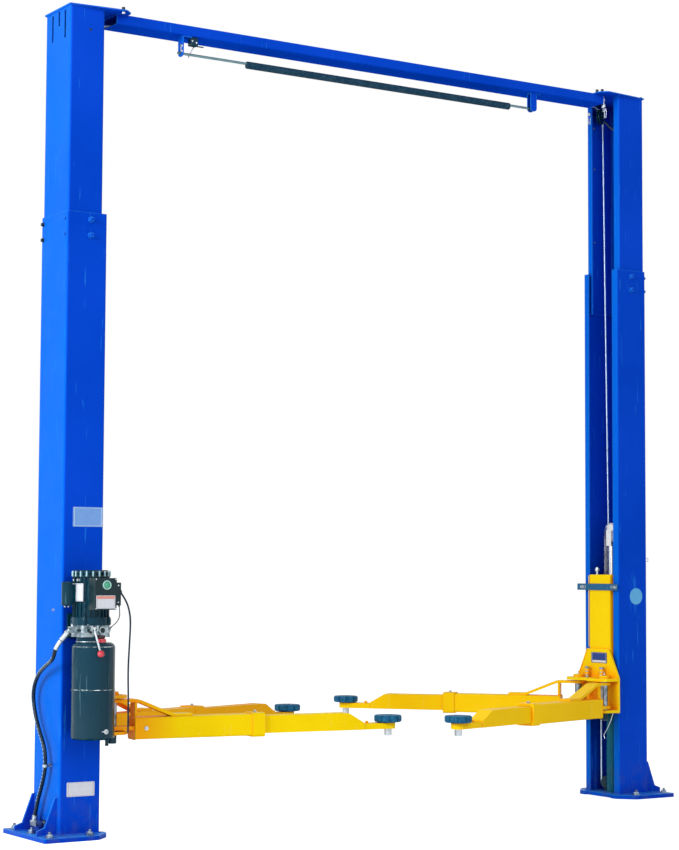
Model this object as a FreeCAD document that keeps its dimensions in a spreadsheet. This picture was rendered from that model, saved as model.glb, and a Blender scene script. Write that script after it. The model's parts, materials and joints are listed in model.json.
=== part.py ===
import FreeCAD, Part
import math
import os
import Sketcher

# Two post car lift, in millimetres, +Z up.
# X runs along the overhead beam, from the power unit's column to the other.
# -Y is the front, where the power unit hangs. The origin is on the floor,
# midway between the columns and midway between the furthest arm tips.

os.makedirs("parts", exist_ok=True)
doc = FreeCAD.newDocument("TwoPostLift")
sheet = doc.addObject("Spreadsheet::Sheet", "Sizes")


# A size is a number together with the expression that gives it from the sheet.
class Size:
    def __init__(self, value, text):
        self.value = float(value)
        self.text = text

    def __add__(self, other):
        other = as_size(other)
        return Size(self.value + other.value, f"({self.text} + {other.text})")

    def __sub__(self, other):
        other = as_size(other)
        return Size(self.value - other.value, f"({self.text} - {other.text})")

    def __mul__(self, other):
        other = as_size(other)
        return Size(self.value * other.value, f"({self.text} * {other.text})")

    def __truediv__(self, other):
        other = as_size(other)
        return Size(self.value / other.value, f"({self.text} / {other.text})")

    def __rsub__(self, other):
        return as_size(other) - self

    def __neg__(self):
        return self * -1

    __radd__ = __add__
    __rmul__ = __mul__


def as_size(number):
    return number if isinstance(number, Size) else Size(number, repr(float(number)))


def cell(name, value):
    cell.row += 1
    sheet.set(f"A{cell.row}", name)
    sheet.set(f"B{cell.row}", str(value))
    sheet.setAlias(f"B{cell.row}", name)
    return Size(value, f"Sizes.{name}")


cell.row = 0

# Columns
column_top = cell("column_top", 3810)
cap_thickness = cell("cap_thickness", 6)
outer_face = cell("outer_face", 1738)
lower_depth = cell("lower_depth", 203)
lower_width = cell("lower_width", 280)
lower_top = cell("lower_top", 2845)
upper_start = cell("upper_start", 2625)
upper_depth = cell("upper_depth", 175)
upper_width = cell("upper_width", 268)
wall = cell("wall", 6)
lip = cell("lip", 41)
fold_radius = 11
inner_fold_radius = fold_radius - 6
base_thickness = cell("base_thickness", 20)
base_outer = cell("base_outer", 1848)
base_inner = cell("base_inner", 1503)
base_half_width = cell("base_half_width", 230)
base_corner = cell("base_corner", 80)
anchor_radius = cell("anchor_radius", 11)
anchor_outer_x = cell("anchor_outer_x", 1806)
anchor_inner_x = cell("anchor_inner_x", 1610)
anchor_y = cell("anchor_y", 190)
gusset_top = cell("gusset_top", 185)
gusset_toe = cell("gusset_toe", 42)
gusset_reach = cell("gusset_reach", 1838)
gusset_y = cell("gusset_y", 120)
gusset_thickness = cell("gusset_thickness", 10)
slot_width = cell("slot_width", 19)
SLOTS = ((61, 3663, 3791), (-9, 3725, 3798), (-74, 3660, 3792))

# Overhead beam, caps, pulleys and ropes
beam_end = cell("beam_end", 1480)
beam_height = cell("beam_height", 48)
beam_width = cell("beam_width", 142)
beam_offset = cell("beam_offset", -30)
beam_wall = cell("beam_wall", 4)
cap_reach = cell("cap_reach", 1420)
cap_flare = cell("cap_flare", 168)
cap_corner = cell("cap_corner", 38)
pulley_width = cell("pulley_width", 16)
pulley_pin_radius = cell("pulley_pin_radius", 8)
fork_plate = cell("fork_plate", 6)
rope_radius = cell("rope_radius", 5)
groove_clearance = cell("groove_clearance", 0.8)
rope_lean = cell("rope_lean", 0.6)
rope_z = cell("rope_z", 3770)
rope_x = cell("rope_x", 1648)
rope_top_y = cell("rope_top_y", 108)
rope_foot_y = cell("rope_foot_y", 48)
short_run_x = cell("short_run_x", 1602)
short_run_y = cell("short_run_y", 84)
short_run_top = cell("short_run_top", 760)
rope_foot_z = cell("rope_foot_z", 36)
head_pulley_radius = cell("head_pulley_radius", 36)
foot_pulley_radius = cell("foot_pulley_radius", 28.8)

# Shut-off bar below the beam
bar_y = cell("bar_y", -70)
bar_z = cell("bar_z", 3672)
bar_radius = cell("bar_radius", 6)
sleeve_radius = cell("sleeve_radius", 18)
sleeve_start = cell("sleeve_start", -757)
sleeve_length = cell("sleeve_length", 1607)
bar_pivot_x = cell("bar_pivot_x", 1007)
bar_left_end = cell("bar_left_end", -1140)
hanger_x = cell("hanger_x", -1122)
hanger_plate = cell("hanger_plate", 6)
pivot_radius = cell("pivot_radius", 5)

# Hydraulic cylinder, rod and chain
cylinder_x = cell("cylinder_x", 1612)
cylinder_radius = cell("cylinder_radius", 34)
cylinder_top = cell("cylinder_top", 1140)
rod_length_inside = cell("rod_length_inside", 780)
rod_radius = cell("rod_radius", 20)
sheave_z = cell("sheave_z", 1415)
sheave_radius = cell("sheave_radius", 44)
sheave_width = cell("sheave_width", 28)
chain_thickness = cell("chain_thickness", 14)
chain_width = cell("chain_width", 20)
chain_foot = cell("chain_foot", 470)
chain_end = cell("chain_end", 900)

# Carriages at the height that the arms are stored at
carriage_bottom = cell("carriage_bottom", 455)
carriage_top = cell("carriage_top", 1190)
carriage_wall = cell("carriage_wall", 8)
carriage_back = cell("carriage_back", 1704)
carriage_shoulder = cell("carriage_shoulder", 1580)
carriage_front = cell("carriage_front", 1522)
carriage_half_width = cell("carriage_half_width", 112)
neck_half_width = cell("neck_half_width", 88)
yoke_plate = cell("yoke_plate", 12)
yoke_half_width = cell("yoke_half_width", 165)
yoke_shoulder_z = cell("yoke_shoulder_z", 640)
yoke_top_z = cell("yoke_top_z", 790)
shelf_top = cell("shelf_top", 636)
shelf_reach = cell("shelf_reach", 1400)
shelf_thickness = cell("shelf_thickness", 14)
lower_shelf_top = cell("lower_shelf_top", 470)
strap_front = cell("strap_front", 148)
strap_back = cell("strap_back", 180)
strap_bottom = cell("strap_bottom", 1106)
strap_top = cell("strap_top", 1141)
block_height = cell("block_height", 90)
lock_x = cell("lock_x", 1484)
lock_y = cell("lock_y", 60)
lock_height = cell("lock_height", 58)
pin_x = cell("pin_x", 1462)
pin_y = cell("pin_y", 108)
pin_radius = cell("pin_radius", 19)
pin_tail = cell("pin_tail", 54)

# Arms
arm_tube = cell("arm_tube", 100)
arm_wall = cell("arm_wall", 8)
arm_middle_z = cell("arm_middle_z", 483)
arm_tube_start = cell("arm_tube_start", 95)
arm_tube_end = cell("arm_tube_end", 740)
collar_length = cell("collar_length", 62)
strap_back_reach = cell("strap_back_reach", 32)
strap_knee = cell("strap_knee", 116)
strap_heel = cell("strap_heel", 290)
strap_end = cell("strap_end", 380)
strap_half_width = cell("strap_half_width", 34)
inner_tube_height = cell("inner_tube_height", 82)
inner_tube_width = cell("inner_tube_width", 82)
inner_wall = cell("inner_wall", 7)
inner_tube_length = cell("inner_tube_length", 980)
slope_start = cell("slope_start", 230)
slope_run = cell("slope_run", 82)
tongue_half_width = cell("tongue_half_width", 36)
tongue_thickness = cell("tongue_thickness", 28)
pad_radius = cell("pad_radius", 67)
pad_z = cell("pad_z", 474)
pad_height = cell("pad_height", 33)
screw_radius = cell("screw_radius", 19)
notch_count = 10

# Power unit
unit_x = cell("unit_x", -1636)
unit_y = cell("unit_y", -258)
motor_x = cell("motor_x", -1652)
tank_radius = cell("tank_radius", 97.5)
tank_bottom = cell("tank_bottom", 453)
tank_seam = cell("tank_seam", 671)
tank_top = cell("tank_top", 884)
neck_radius = cell("neck_radius", 64)
manifold_bottom = cell("manifold_bottom", 914)
manifold_top = cell("manifold_top", 960)
motor_radius = cell("motor_radius", 84)
motor_top = cell("motor_top", 1206)
fin_depth = cell("fin_depth", 8)
fin_count = 24
vent_count = 18
manifold_reach = cell("manifold_reach", 70)
manifold_half_width = cell("manifold_half_width", 60)
lever_x = cell("lever_x", -1680)
lever_y = cell("lever_y", -348)
lever_z = cell("lever_z", 950)
lever_fall = (23, -27, -114)
ball_radius = 16
capacitor_bottom = cell("capacitor_bottom", 1048)
capacitor_top = cell("capacitor_top", 1153)
switch_bottom = cell("switch_bottom", 1031)
switch_top = cell("switch_top", 1171)
switch_front = cell("switch_front", 150)
switch_back = cell("switch_back", 92)
switch_half_width = cell("switch_half_width", 55)

# Hose, lead and wire
hose_radius = cell("hose_radius", 9)
lead_radius = cell("lead_radius", 4)
wire_radius = cell("wire_radius", 2)
clip_z = 324

# Points on the three cords' way, their y measured from the column line
HOSE_ROUTE = [
    (-1776, -220, 894),
    (-1797, -204, 862),
    (-1801, -190, 806),
    (-1789, -92, 778),
    (-1777, 24, 730),
    (-1770, 91, 650),
    (-1770, 66, 558),
    (-1770, 14, 478),
    (-1770, -46, 408),
    (-1770, -62, 324),
    (-1770, -30, 245),
    (-1770, 21, 160),
    (-1770, 43, 96),
]
LEAD_ROUTE = [
    (-1568, -389, 1104),
    (-1550, -394, 1078),
    (-1534, -398, 1040),
    (-1525, -402, 985),
    (-1532, -406, 880),
    (-1537, -404, 765),
    (-1534, -405, 640),
    (-1532, -402, 545),
    (-1533, -403, 486),
]
WIRE_ROUTE = [
    (-1579, -394, 1044),
    (-1575, -391, 1022),
    (-1569, -380, 998),
    (-1572, -357, 972),
    (-1584, -331, 953),
]

# How far each arm is turned from +X and how far its pad is from its pivot
ARMS = {}
for arm_name, side, end, turn, distance in (("left_front", -1, -1, -7, 1417), ("left_rear", -1, 1, 20, 1466),
                                            ("right_front", 1, -1, 197, 1302), ("right_rear", 1, 1, 133, 1302)):
    ARMS[arm_name] = (side, end, cell(f"{arm_name}_turn", turn), cell(f"{arm_name}_distance", distance))


def pad_reach(name):
    _, end, turn, distance = ARMS[name]
    sideways = distance.value * math.sin(math.radians(turn.value))
    return end * (pin_y.value + pad_radius.value) + sideways


column_y = cell("column_y", round(-(pad_reach("right_rear") + pad_reach("right_front")) / 2, 1))
doc.recompute()
print("column line at y =", column_y.value)

nodes = {}


def bind(target, name, size):
    target.setExpression(name, as_size(size).text)


def place(target, at):
    for axis, size in zip("xyz", at):
        bind(target, f"Placement.Base.{axis}", size)


def box(name, low, high):
    solid = doc.addObject("Part::Box", name)
    for prop, start, stop in zip(("Length", "Width", "Height"), low, high):
        bind(solid, prop, as_size(stop) - start)
    place(solid, low)
    return solid


# A box from near to far on one side of the lift, whichever side that is
def side_box(name, side, near, far, y_low, y_high, z_low, z_high):
    x_low, x_high = (near, far) if side > 0 else (-as_size(far), -as_size(near))
    return box(name, (x_low, y_low, z_low), (x_high, y_high, z_high))


def rod(name, radius, length, at, direction=(0, 0, 1)):
    solid = doc.addObject("Part::Cylinder", name)
    bind(solid, "Radius", radius)
    bind(solid, "Height", length)
    turn = FreeCAD.Rotation(FreeCAD.Vector(0, 0, 1), FreeCAD.Vector(*direction))
    solid.Placement = FreeCAD.Placement(FreeCAD.Vector(0, 0, 0), turn)
    place(solid, at)
    return solid


def cut(name, base, tool):
    result = doc.addObject("Part::Cut", name)
    result.Base = base
    result.Tool = tool
    return result


def fuse(name, shapes):
    result = doc.addObject("Part::MultiFuse", name)
    result.Shapes = shapes
    return result


def group(name, shapes):
    result = doc.addObject("Part::Compound", name)
    result.Links = shapes
    return result


# Closed outline of straight lines, every corner held by the sheet
def draw_outline(sketch, corners):
    corners = [(as_size(u), as_size(v)) for u, v in corners]
    points = [FreeCAD.Vector(u.value, v.value, 0) for u, v in corners]
    first = sketch.GeometryCount
    count = len(points)
    for i in range(count):
        sketch.addGeometry(Part.LineSegment(points[i], points[(i + 1) % count]), False)
    for i in range(count):
        following = first + (i + 1) % count
        sketch.addConstraint(Sketcher.Constraint("Coincident", first + i, 2, following, 1))
    for i, corner in enumerate(corners):
        for kind, size, axis in (("DistanceX", corner[0], -2), ("DistanceY", corner[1], -1)):
            if abs(size.value) < 1e-6:
                sketch.addConstraint(Sketcher.Constraint("PointOnObject", first + i, 1, axis))
            else:
                held = Sketcher.Constraint(kind, -1, 1, first + i, 1, size.value)
                number = sketch.addConstraint(held)
                sketch.setExpression(f"Constraints[{number}]", size.text)


def origin_plane(body, role):
    return next(f for f in body.Origin.OriginFeatures if f.Role == role)


def sketch_on(body, role, name, outlines):
    sketch = body.newObject("Sketcher::SketchObject", name)
    sketch.AttachmentSupport = (origin_plane(body, role), "")
    sketch.MapMode = "FlatFace"
    for corners in outlines:
        draw_outline(sketch, corners)
    return sketch


# A body padded from one or more closed outlines on the floor plane or on XZ
def padded(name, outlines, start, length, role="XY_Plane"):
    body = doc.addObject("PartDesign::Body", name)
    pad = body.newObject("PartDesign::Pad", f"{name}_pad")
    pad.Profile = sketch_on(body, role, f"{name}_outline", outlines)
    bind(pad, "Length", length)
    if role == "XY_Plane":
        place(body, (0, 0, start))
    elif role == "XZ_Plane":
        pad.Reversed = True
        place(body, (0, start, 0))
    else:
        place(body, (start, 0, 0))
    return body


# A body turned from a profile of (radius, height) points, its axis then laid along a direction
def revolved(name, profile, at, direction=(0, 0, 1)):
    body = doc.addObject("PartDesign::Body", name)
    sketch = sketch_on(body, "XZ_Plane", f"{name}_profile", [profile])
    turn = body.newObject("PartDesign::Revolution", f"{name}_turn")
    turn.Profile = sketch
    turn.ReferenceAxis = (sketch, ["V_Axis"])
    turn.Angle = 360
    body.Placement = FreeCAD.Placement(
        FreeCAD.Vector(0, 0, 0), FreeCAD.Rotation(FreeCAD.Vector(0, 0, 1), FreeCAD.Vector(*direction)))
    place(body, at)
    return body


# Rounds the straight edges that run along an axis through the given (first, second, radius) corners
def rounded(name, base, axis, corners):
    doc.recompute()
    along = "xyz".index(axis)
    first, second = [i for i in range(3) if i != along]
    edges = []
    for number, edge in enumerate(base.Shape.Edges, start=1):
        if not isinstance(edge.Curve, Part.Line) or abs(edge.tangentAt(edge.FirstParameter)[along]) < 0.999:
            continue
        middle = edge.CenterOfMass
        for u, v, radius in corners:
            if math.hypot(middle[first] - as_size(u).value, middle[second] - as_size(v).value) < 0.5:
                edges.append((number, radius, radius))
    if not edges:
        raise SystemExit(f"no edges to round on {name}")
    result = doc.addObject("Part::Fillet", name)
    result.Base = base
    result.Edges = edges
    return result


# Rounds the circular edges of a turned piece, picked by (height, circle radius, rounding)
def rimmed(name, base, rims):
    doc.recompute()
    edges = []
    for number, edge in enumerate(base.Shape.Edges, start=1):
        if isinstance(edge.Curve, Part.Circle):
            for z, circle, radius in rims:
                level = abs(edge.Curve.Center.z - as_size(z).value)
                if level < 0.1 and abs(edge.Curve.Radius - as_size(circle).value) < 0.1:
                    edges.append((number, radius, radius))
    if not edges:
        raise SystemExit(f"no rims to round on {name}")
    result = doc.addObject("Part::Fillet", name)
    result.Base = base
    result.Edges = edges
    return result


# A round bar swept along straight runs joined by tangent arcs; each corner has its own arc radius
def swept(name, points, bend_radii, radius):
    points = [FreeCAD.Vector(*(as_size(v).value for v in point)) for point in points]
    edges = []
    here = points[0]
    for corner, after, bend in zip(points[1:], points[2:], bend_radii):
        arriving = (corner - here).normalize()
        leaving = (after - corner).normalize()
        half_turn = arriving.getAngle(leaving) / 2
        reach = bend * math.tan(half_turn)
        start = corner - arriving * reach
        finish = corner + leaving * reach
        inward = (leaving - arriving).normalize()
        middle = corner + inward * (bend / math.cos(half_turn) - bend)
        if (start - here).Length > 1e-3:
            edges.append(Part.LineSegment(here, start).toShape())
        edges.append(Part.Arc(start, middle, finish).toShape())
        here = finish
    edges.append(Part.LineSegment(here, points[-1]).toShape())
    path = Part.Wire(edges)
    section = Part.Wire(Part.makeCircle(as_size(radius).value, points[0], (points[1] - points[0])))
    solid = doc.addObject("Part::Feature", name)
    solid.Shape = path.makePipeShell([section], True, False)
    expected = math.pi * as_size(radius).value ** 2 * path.Length
    if abs(solid.Shape.Volume / expected - 1) > 0.01:
        raise SystemExit(f"{name}: the sweep's volume is off")
    print(f"{name}: length {path.Length:.0f}, bends {[round(bend) for bend in bend_radii]}")
    return solid


# Bend radii of a loose cord: each as large as the shorter of its two runs allows
def cord_bends(points):
    points = [FreeCAD.Vector(*(as_size(v).value for v in point)) for point in points]
    bends = []
    for before, corner, after in zip(points, points[1:], points[2:]):
        arriving = corner - before
        leaving = after - corner
        half_turn = arriving.getAngle(leaving) / 2
        bends.append(0.45 * min(arriving.Length, leaving.Length) / math.tan(half_turn))
    return bends


def node(name, solid):
    solid.Label = name
    nodes[name] = solid
    return solid


# C section of a column, open towards the other column
def column_outline(side, back, depth, width):
    front = back - depth
    half = width / 2
    outline = [
        (back, column_y - half),
        (back, column_y + half),
        (front, column_y + half),
        (front, column_y + half - lip),
        (front + wall, column_y + half - lip),
        (front + wall, column_y + half - wall),
        (back - wall, column_y + half - wall),
        (back - wall, column_y - half + wall),
        (front + wall, column_y - half + wall),
        (front + wall, column_y - half + lip),
        (front, column_y - half + lip),
        (front, column_y - half),
    ]
    return [(x * side, y) for x, y in outline]


# Bend lines of that section: the outer corners and the inner ones of the four folds
def column_bends(side, back, depth, width):
    outline = column_outline(side, back, depth, width)
    outer = [outline[i] + (fold_radius,) for i in (0, 1, 2, 11)]
    inner = [outline[i] + (inner_fold_radius,) for i in (5, 6, 7, 8)]
    return outer + inner


# Columns and base plates
def build_column(side_name, side):
    section = (side, outer_face, lower_depth, lower_width)
    column = padded(f"{side_name}_lower_section", [column_outline(*section)], base_thickness,
                    lower_top - base_thickness)
    folded = rounded(f"{side_name}_lower_folded", column, "z", column_bends(*section))
    hole_ends = [rod(f"{side_name}_hose_hole_{y}", 15, 40, ((outer_face - 20) * side, column_y + y, 60),
                     (side, 0, 0)) for y in (8, 28)]
    hole_middle = side_box(f"{side_name}_hose_hole_middle", side, outer_face - 20, outer_face + 20,
                           column_y + 8, column_y + 28, 45, 75)
    node(f"{side_name}_lower_column",
         cut(f"{side_name}_lower_column_cut", folded,
             fuse(f"{side_name}_hose_hole", hole_ends + [hole_middle])))

    section = (side, outer_face - wall, upper_depth, upper_width)
    body = padded(f"{side_name}_upper_section", [column_outline(*section)], upper_start,
                  column_top - cap_thickness - upper_start)
    folded = rounded(f"{side_name}_upper_folded", body, "z", column_bends(*section))
    slots = []
    for number, (y, low, high) in enumerate(SLOTS):
        slots.append(side_box(f"{side_name}_slot_{number}", side, outer_face - 40, outer_face + 10,
                              column_y + y - slot_width / 2, column_y + y + slot_width / 2, low, high))
    node(f"{side_name}_upper_column",
         cut(f"{side_name}_upper_column_cut", folded, group(f"{side_name}_slots", slots)))


# Base plate with two rounded ears towards the bay and five anchor holes
def build_base(side_name, side):
    ear = 95
    recess = 14
    ear_rounding = 46
    corners = [
        (base_outer, column_y - base_half_width),
        (base_outer, column_y + base_half_width),
        (base_inner + base_corner, column_y + base_half_width),
        (base_inner, column_y + base_half_width - base_corner),
        (base_inner, column_y + ear + recess),
        (base_inner + recess, column_y + ear),
        (base_inner + recess, column_y - ear),
        (base_inner, column_y - ear - recess),
        (base_inner, column_y - base_half_width + base_corner),
        (base_inner + base_corner, column_y - base_half_width),
    ]
    corners = [(x * side, y) for x, y in corners]
    plate = padded(f"{side_name}_plate", [corners], 0, base_thickness)
    roundings = [corners[i] + (12,) for i in (0, 1)] + [corners[i] + (ear_rounding,) for i in (2, 3, 8, 9)]
    plate = rounded(f"{side_name}_rounded_plate", plate, "z", roundings)
    holes = []
    for number, (x, y) in enumerate(((anchor_outer_x, -anchor_y), (anchor_outer_x, as_size(0)),
                                     (anchor_outer_x, anchor_y), (anchor_inner_x, -anchor_y),
                                     (anchor_inner_x, anchor_y))):
        holes.append(rod(f"{side_name}_anchor_{number}", anchor_radius, base_thickness + 20,
                         (x * side, column_y + y, -10)))
    node(f"{side_name}_base_plate",
         cut(f"{side_name}_base_plate_cut", plate, group(f"{side_name}_anchors", holes)))

    toe = [
        (outer_face, base_thickness),
        (outer_face, gusset_top),
        (outer_face + 14, gusset_top),
        (outer_face + 62, gusset_toe + 14),
        (gusset_reach, gusset_toe),
        (gusset_reach, base_thickness),
    ]
    ribs = []
    for number, end in enumerate((-1, 1)):
        start = column_y + gusset_y * end - gusset_thickness / 2
        ribs.append(padded(f"{side_name}_gusset_{number}", [[(x * side, z) for x, z in toe]],
                           start, gusset_thickness, "XZ_Plane"))
    return ribs


# Cap plate that closes the column, widens towards the bay and carries the end of the beam
def build_cap(side_name, side):
    half = upper_width / 2 + 4
    corners = [
        (outer_face, column_y - half),
        (outer_face, column_y + half),
        (cap_reach + cap_corner, column_y + cap_flare),
        (cap_reach, column_y + cap_flare - cap_corner),
        (cap_reach, column_y - cap_flare + cap_corner),
        (cap_reach + cap_corner, column_y - cap_flare),
    ]
    corners = [(x * side, y) for x, y in corners]
    plate = padded(f"{side_name}_cap", [corners], column_top - cap_thickness, cap_thickness)
    return rounded(f"{side_name}_rounded_cap", plate, "z", [corner + (24,) for corner in corners[2:]])


def build_beam():
    low = column_y + beam_offset - beam_width / 2
    high = column_y + beam_offset + beam_width / 2
    top = column_top - cap_thickness
    skin = box("beam_skin", (-beam_end, low, top - beam_height), (beam_end, high, top))
    skin = rounded("beam_folded", skin, "x", [(low, top - beam_height, 8), (high, top - beam_height, 8)])
    hollow = box("beam_hollow", (-beam_end - 10, low + beam_wall, top - beam_height + beam_wall),
                 (beam_end + 10, high - beam_wall, top - beam_wall))
    node("crossbeam", cut("beam_cut", skin, hollow))


# A grooved pulley: groove for the rope, two flanges, bored for its pin
def grooved_pulley(name, rope_circle, at, direction):
    groove = rope_circle - rope_radius - groove_clearance
    rim = rope_circle + rope_radius
    half = pulley_width / 2
    profile = [
        (pulley_pin_radius, -half),
        (rim, -half),
        (rim, -half + 2),
        (groove, -rope_radius),
        (groove, rope_radius),
        (rim, half - 2),
        (rim, half),
        (pulley_pin_radius, half),
    ]
    return revolved(name, profile, at, direction)


# Two upright plates beside a pulley, joined by its pin and standing on or hanging from a plate
def pulley_fork(name, centre, axis, low, high):
    gap = pulley_width / 2 + 1.5
    plates = []
    for number, end in enumerate((-1, 1)):
        offset = gap + fork_plate / 2
        plate = box(f"{name}_plate_{number}", (-14, offset * end - fork_plate / 2, low),
                    (14, offset * end + fork_plate / 2, high))
        plates.append(plate)
    span = gap * 2 + fork_plate * 2
    pin = rod(f"{name}_pin", pulley_pin_radius, span, (0, -span / 2, centre[2]), (0, 1, 0))
    upright = fuse(f"{name}_local", plates + [pin])
    moved = doc.addObject("Part::Compound", f"{name}_placed")
    moved.Links = [upright]
    turn = FreeCAD.Rotation(FreeCAD.Vector(0, 1, 0), FreeCAD.Vector(*axis))
    moved.Placement = FreeCAD.Placement(FreeCAD.Vector(0, 0, 0), turn)
    place(moved, (centre[0], centre[1], 0))
    return moved


# One rope a side: up from the carriage's hollow, round the foot pulley, up the column and into the beam
def build_ropes_and_pulleys():
    pieces = []
    ropes = []
    for side_name, side in (("left", -1), ("right", 1)):
        foot_step = FreeCAD.Vector(rope_x.value - short_run_x.value, rope_foot_y.value - short_run_y.value, 0)
        foot_step = foot_step.normalize()
        foot_axis = (-foot_step.y * side, foot_step.x, 0)
        foot_centre = ((rope_x + short_run_x) / 2 * side, column_y + (rope_foot_y + short_run_y) / 2,
                       rope_foot_z + foot_pulley_radius)
        pieces.append(grooved_pulley(f"{side_name}_foot_pulley", foot_pulley_radius, foot_centre, foot_axis))
        pieces.append(pulley_fork(f"{side_name}_foot_fork", foot_centre, foot_axis, base_thickness,
                                  foot_centre[2] + 16))

        beam_entry = (beam_end - 80, as_size(-30))
        run_in = FreeCAD.Vector(beam_entry[0].value - rope_x.value, beam_entry[1].value - rope_top_y.value, 0)
        run_in = run_in.normalize()
        head_axis = (-run_in.y * side, run_in.x, 0)
        head_centre = ((rope_x + head_pulley_radius * run_in.x) * side,
                       column_y + rope_top_y + head_pulley_radius * run_in.y - rope_lean,
                       rope_z - head_pulley_radius)
        pieces.append(grooved_pulley(f"{side_name}_head_pulley", head_pulley_radius, head_centre, head_axis))
        pieces.append(pulley_fork(f"{side_name}_head_fork", head_centre, head_axis, head_centre[2] - 16,
                                  column_top - cap_thickness))

        points = [
            (short_run_x * side, column_y + short_run_y, short_run_top),
            (short_run_x * side, column_y + short_run_y, rope_foot_z),
            (rope_x * side, column_y + rope_foot_y, rope_foot_z),
            (rope_x * side, column_y + rope_top_y, rope_z),
            (beam_entry[0] * side, column_y + beam_entry[1], rope_z),
        ]
        bends = [foot_pulley_radius.value, foot_pulley_radius.value, head_pulley_radius.value]
        ropes.append(swept(f"{side_name}_rope", points, bends, rope_radius - 0.3))
    node("rope_pulleys", group("rope_pulley_set", pieces))
    node("equalizer_ropes", group("equalizer_rope_set", ropes))


# Hydraulic cylinders stand on the base plates; rods carry a chain sheave each
def build_lift_drive(side_name, side):
    x = cylinder_x * side
    barrel = rod(f"{side_name}_barrel", cylinder_radius, cylinder_top - base_thickness,
                 (x, column_y, base_thickness))
    head = rod(f"{side_name}_cylinder_head", cylinder_radius + 5, 46, (x, column_y, cylinder_top - 46))
    bore = rod(f"{side_name}_bore", rod_radius + 0.5, cylinder_top, (x, column_y, base_thickness + 60))
    node(f"{side_name}_cylinder",
         cut(f"{side_name}_cylinder_cut", fuse(f"{side_name}_barrel_and_head", [barrel, head]), bore))

    rod_foot = cylinder_top - rod_length_inside
    stem = rod(f"{side_name}_stem", rod_radius, sheave_z - sheave_radius - 20 - rod_foot,
               (x, column_y, rod_foot))
    fork_block = box(f"{side_name}_fork_block",
                     (x - sheave_width / 2 - 10, column_y - 20, sheave_z - sheave_radius - 24),
                     (x + sheave_width / 2 + 10, column_y + 20, sheave_z + 16))
    fork_gap = box(f"{side_name}_fork_gap",
                   (x - sheave_width / 2 - 1, column_y - 30, sheave_z - sheave_radius - 8),
                   (x + sheave_width / 2 + 1, column_y + 30, sheave_z + 30))
    fork = cut(f"{side_name}_fork", fork_block, fork_gap)
    half = sheave_width / 2
    sheave_profile = [
        (0, -half),
        (sheave_radius + 5, -half),
        (sheave_radius + 5, -half + 3),
        (sheave_radius, -half + 3),
        (sheave_radius, half - 3),
        (sheave_radius + 5, half - 3),
        (sheave_radius + 5, half),
        (0, half),
    ]
    sheave = revolved(f"{side_name}_sheave", sheave_profile, (x, column_y, sheave_z), (1, 0, 0))
    axle = rod(f"{side_name}_sheave_axle", 10, sheave_width + 28,
               (x - sheave_width / 2 - 14, column_y, sheave_z), (1, 0, 0))
    node(f"{side_name}_piston_rod", fuse(f"{side_name}_rod_and_fork", [stem, fork, sheave, axle]))

    outer = sheave_radius + chain_thickness
    ring = rod(f"{side_name}_chain_outer", outer, chain_width, (x - chain_width / 2, column_y, sheave_z),
               (1, 0, 0))
    hole = rod(f"{side_name}_chain_inner", sheave_radius + 0.3, chain_width + 10,
               (x - chain_width / 2 - 5, column_y, sheave_z), (1, 0, 0))
    lower_half = box(f"{side_name}_chain_below", (x - 40, column_y - outer - 5, sheave_z - outer - 5),
                     (x + 40, column_y + outer + 5, sheave_z))
    bend = cut(f"{side_name}_chain_ring", ring, group(f"{side_name}_chain_tools", [hole, lower_half]))
    anchored = box(f"{side_name}_chain_fixed_run", (x - chain_width / 2, column_y - outer, chain_foot),
                   (x + chain_width / 2, column_y - sheave_radius - 0.3, sheave_z))
    carried = box(f"{side_name}_chain_lift_run", (x - chain_width / 2, column_y + sheave_radius + 0.3, chain_end),
                  (x + chain_width / 2, column_y + outer, sheave_z))
    node(f"{side_name}_lift_chain", fuse(f"{side_name}_chain_runs", [bend, anchored, carried]))


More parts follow.
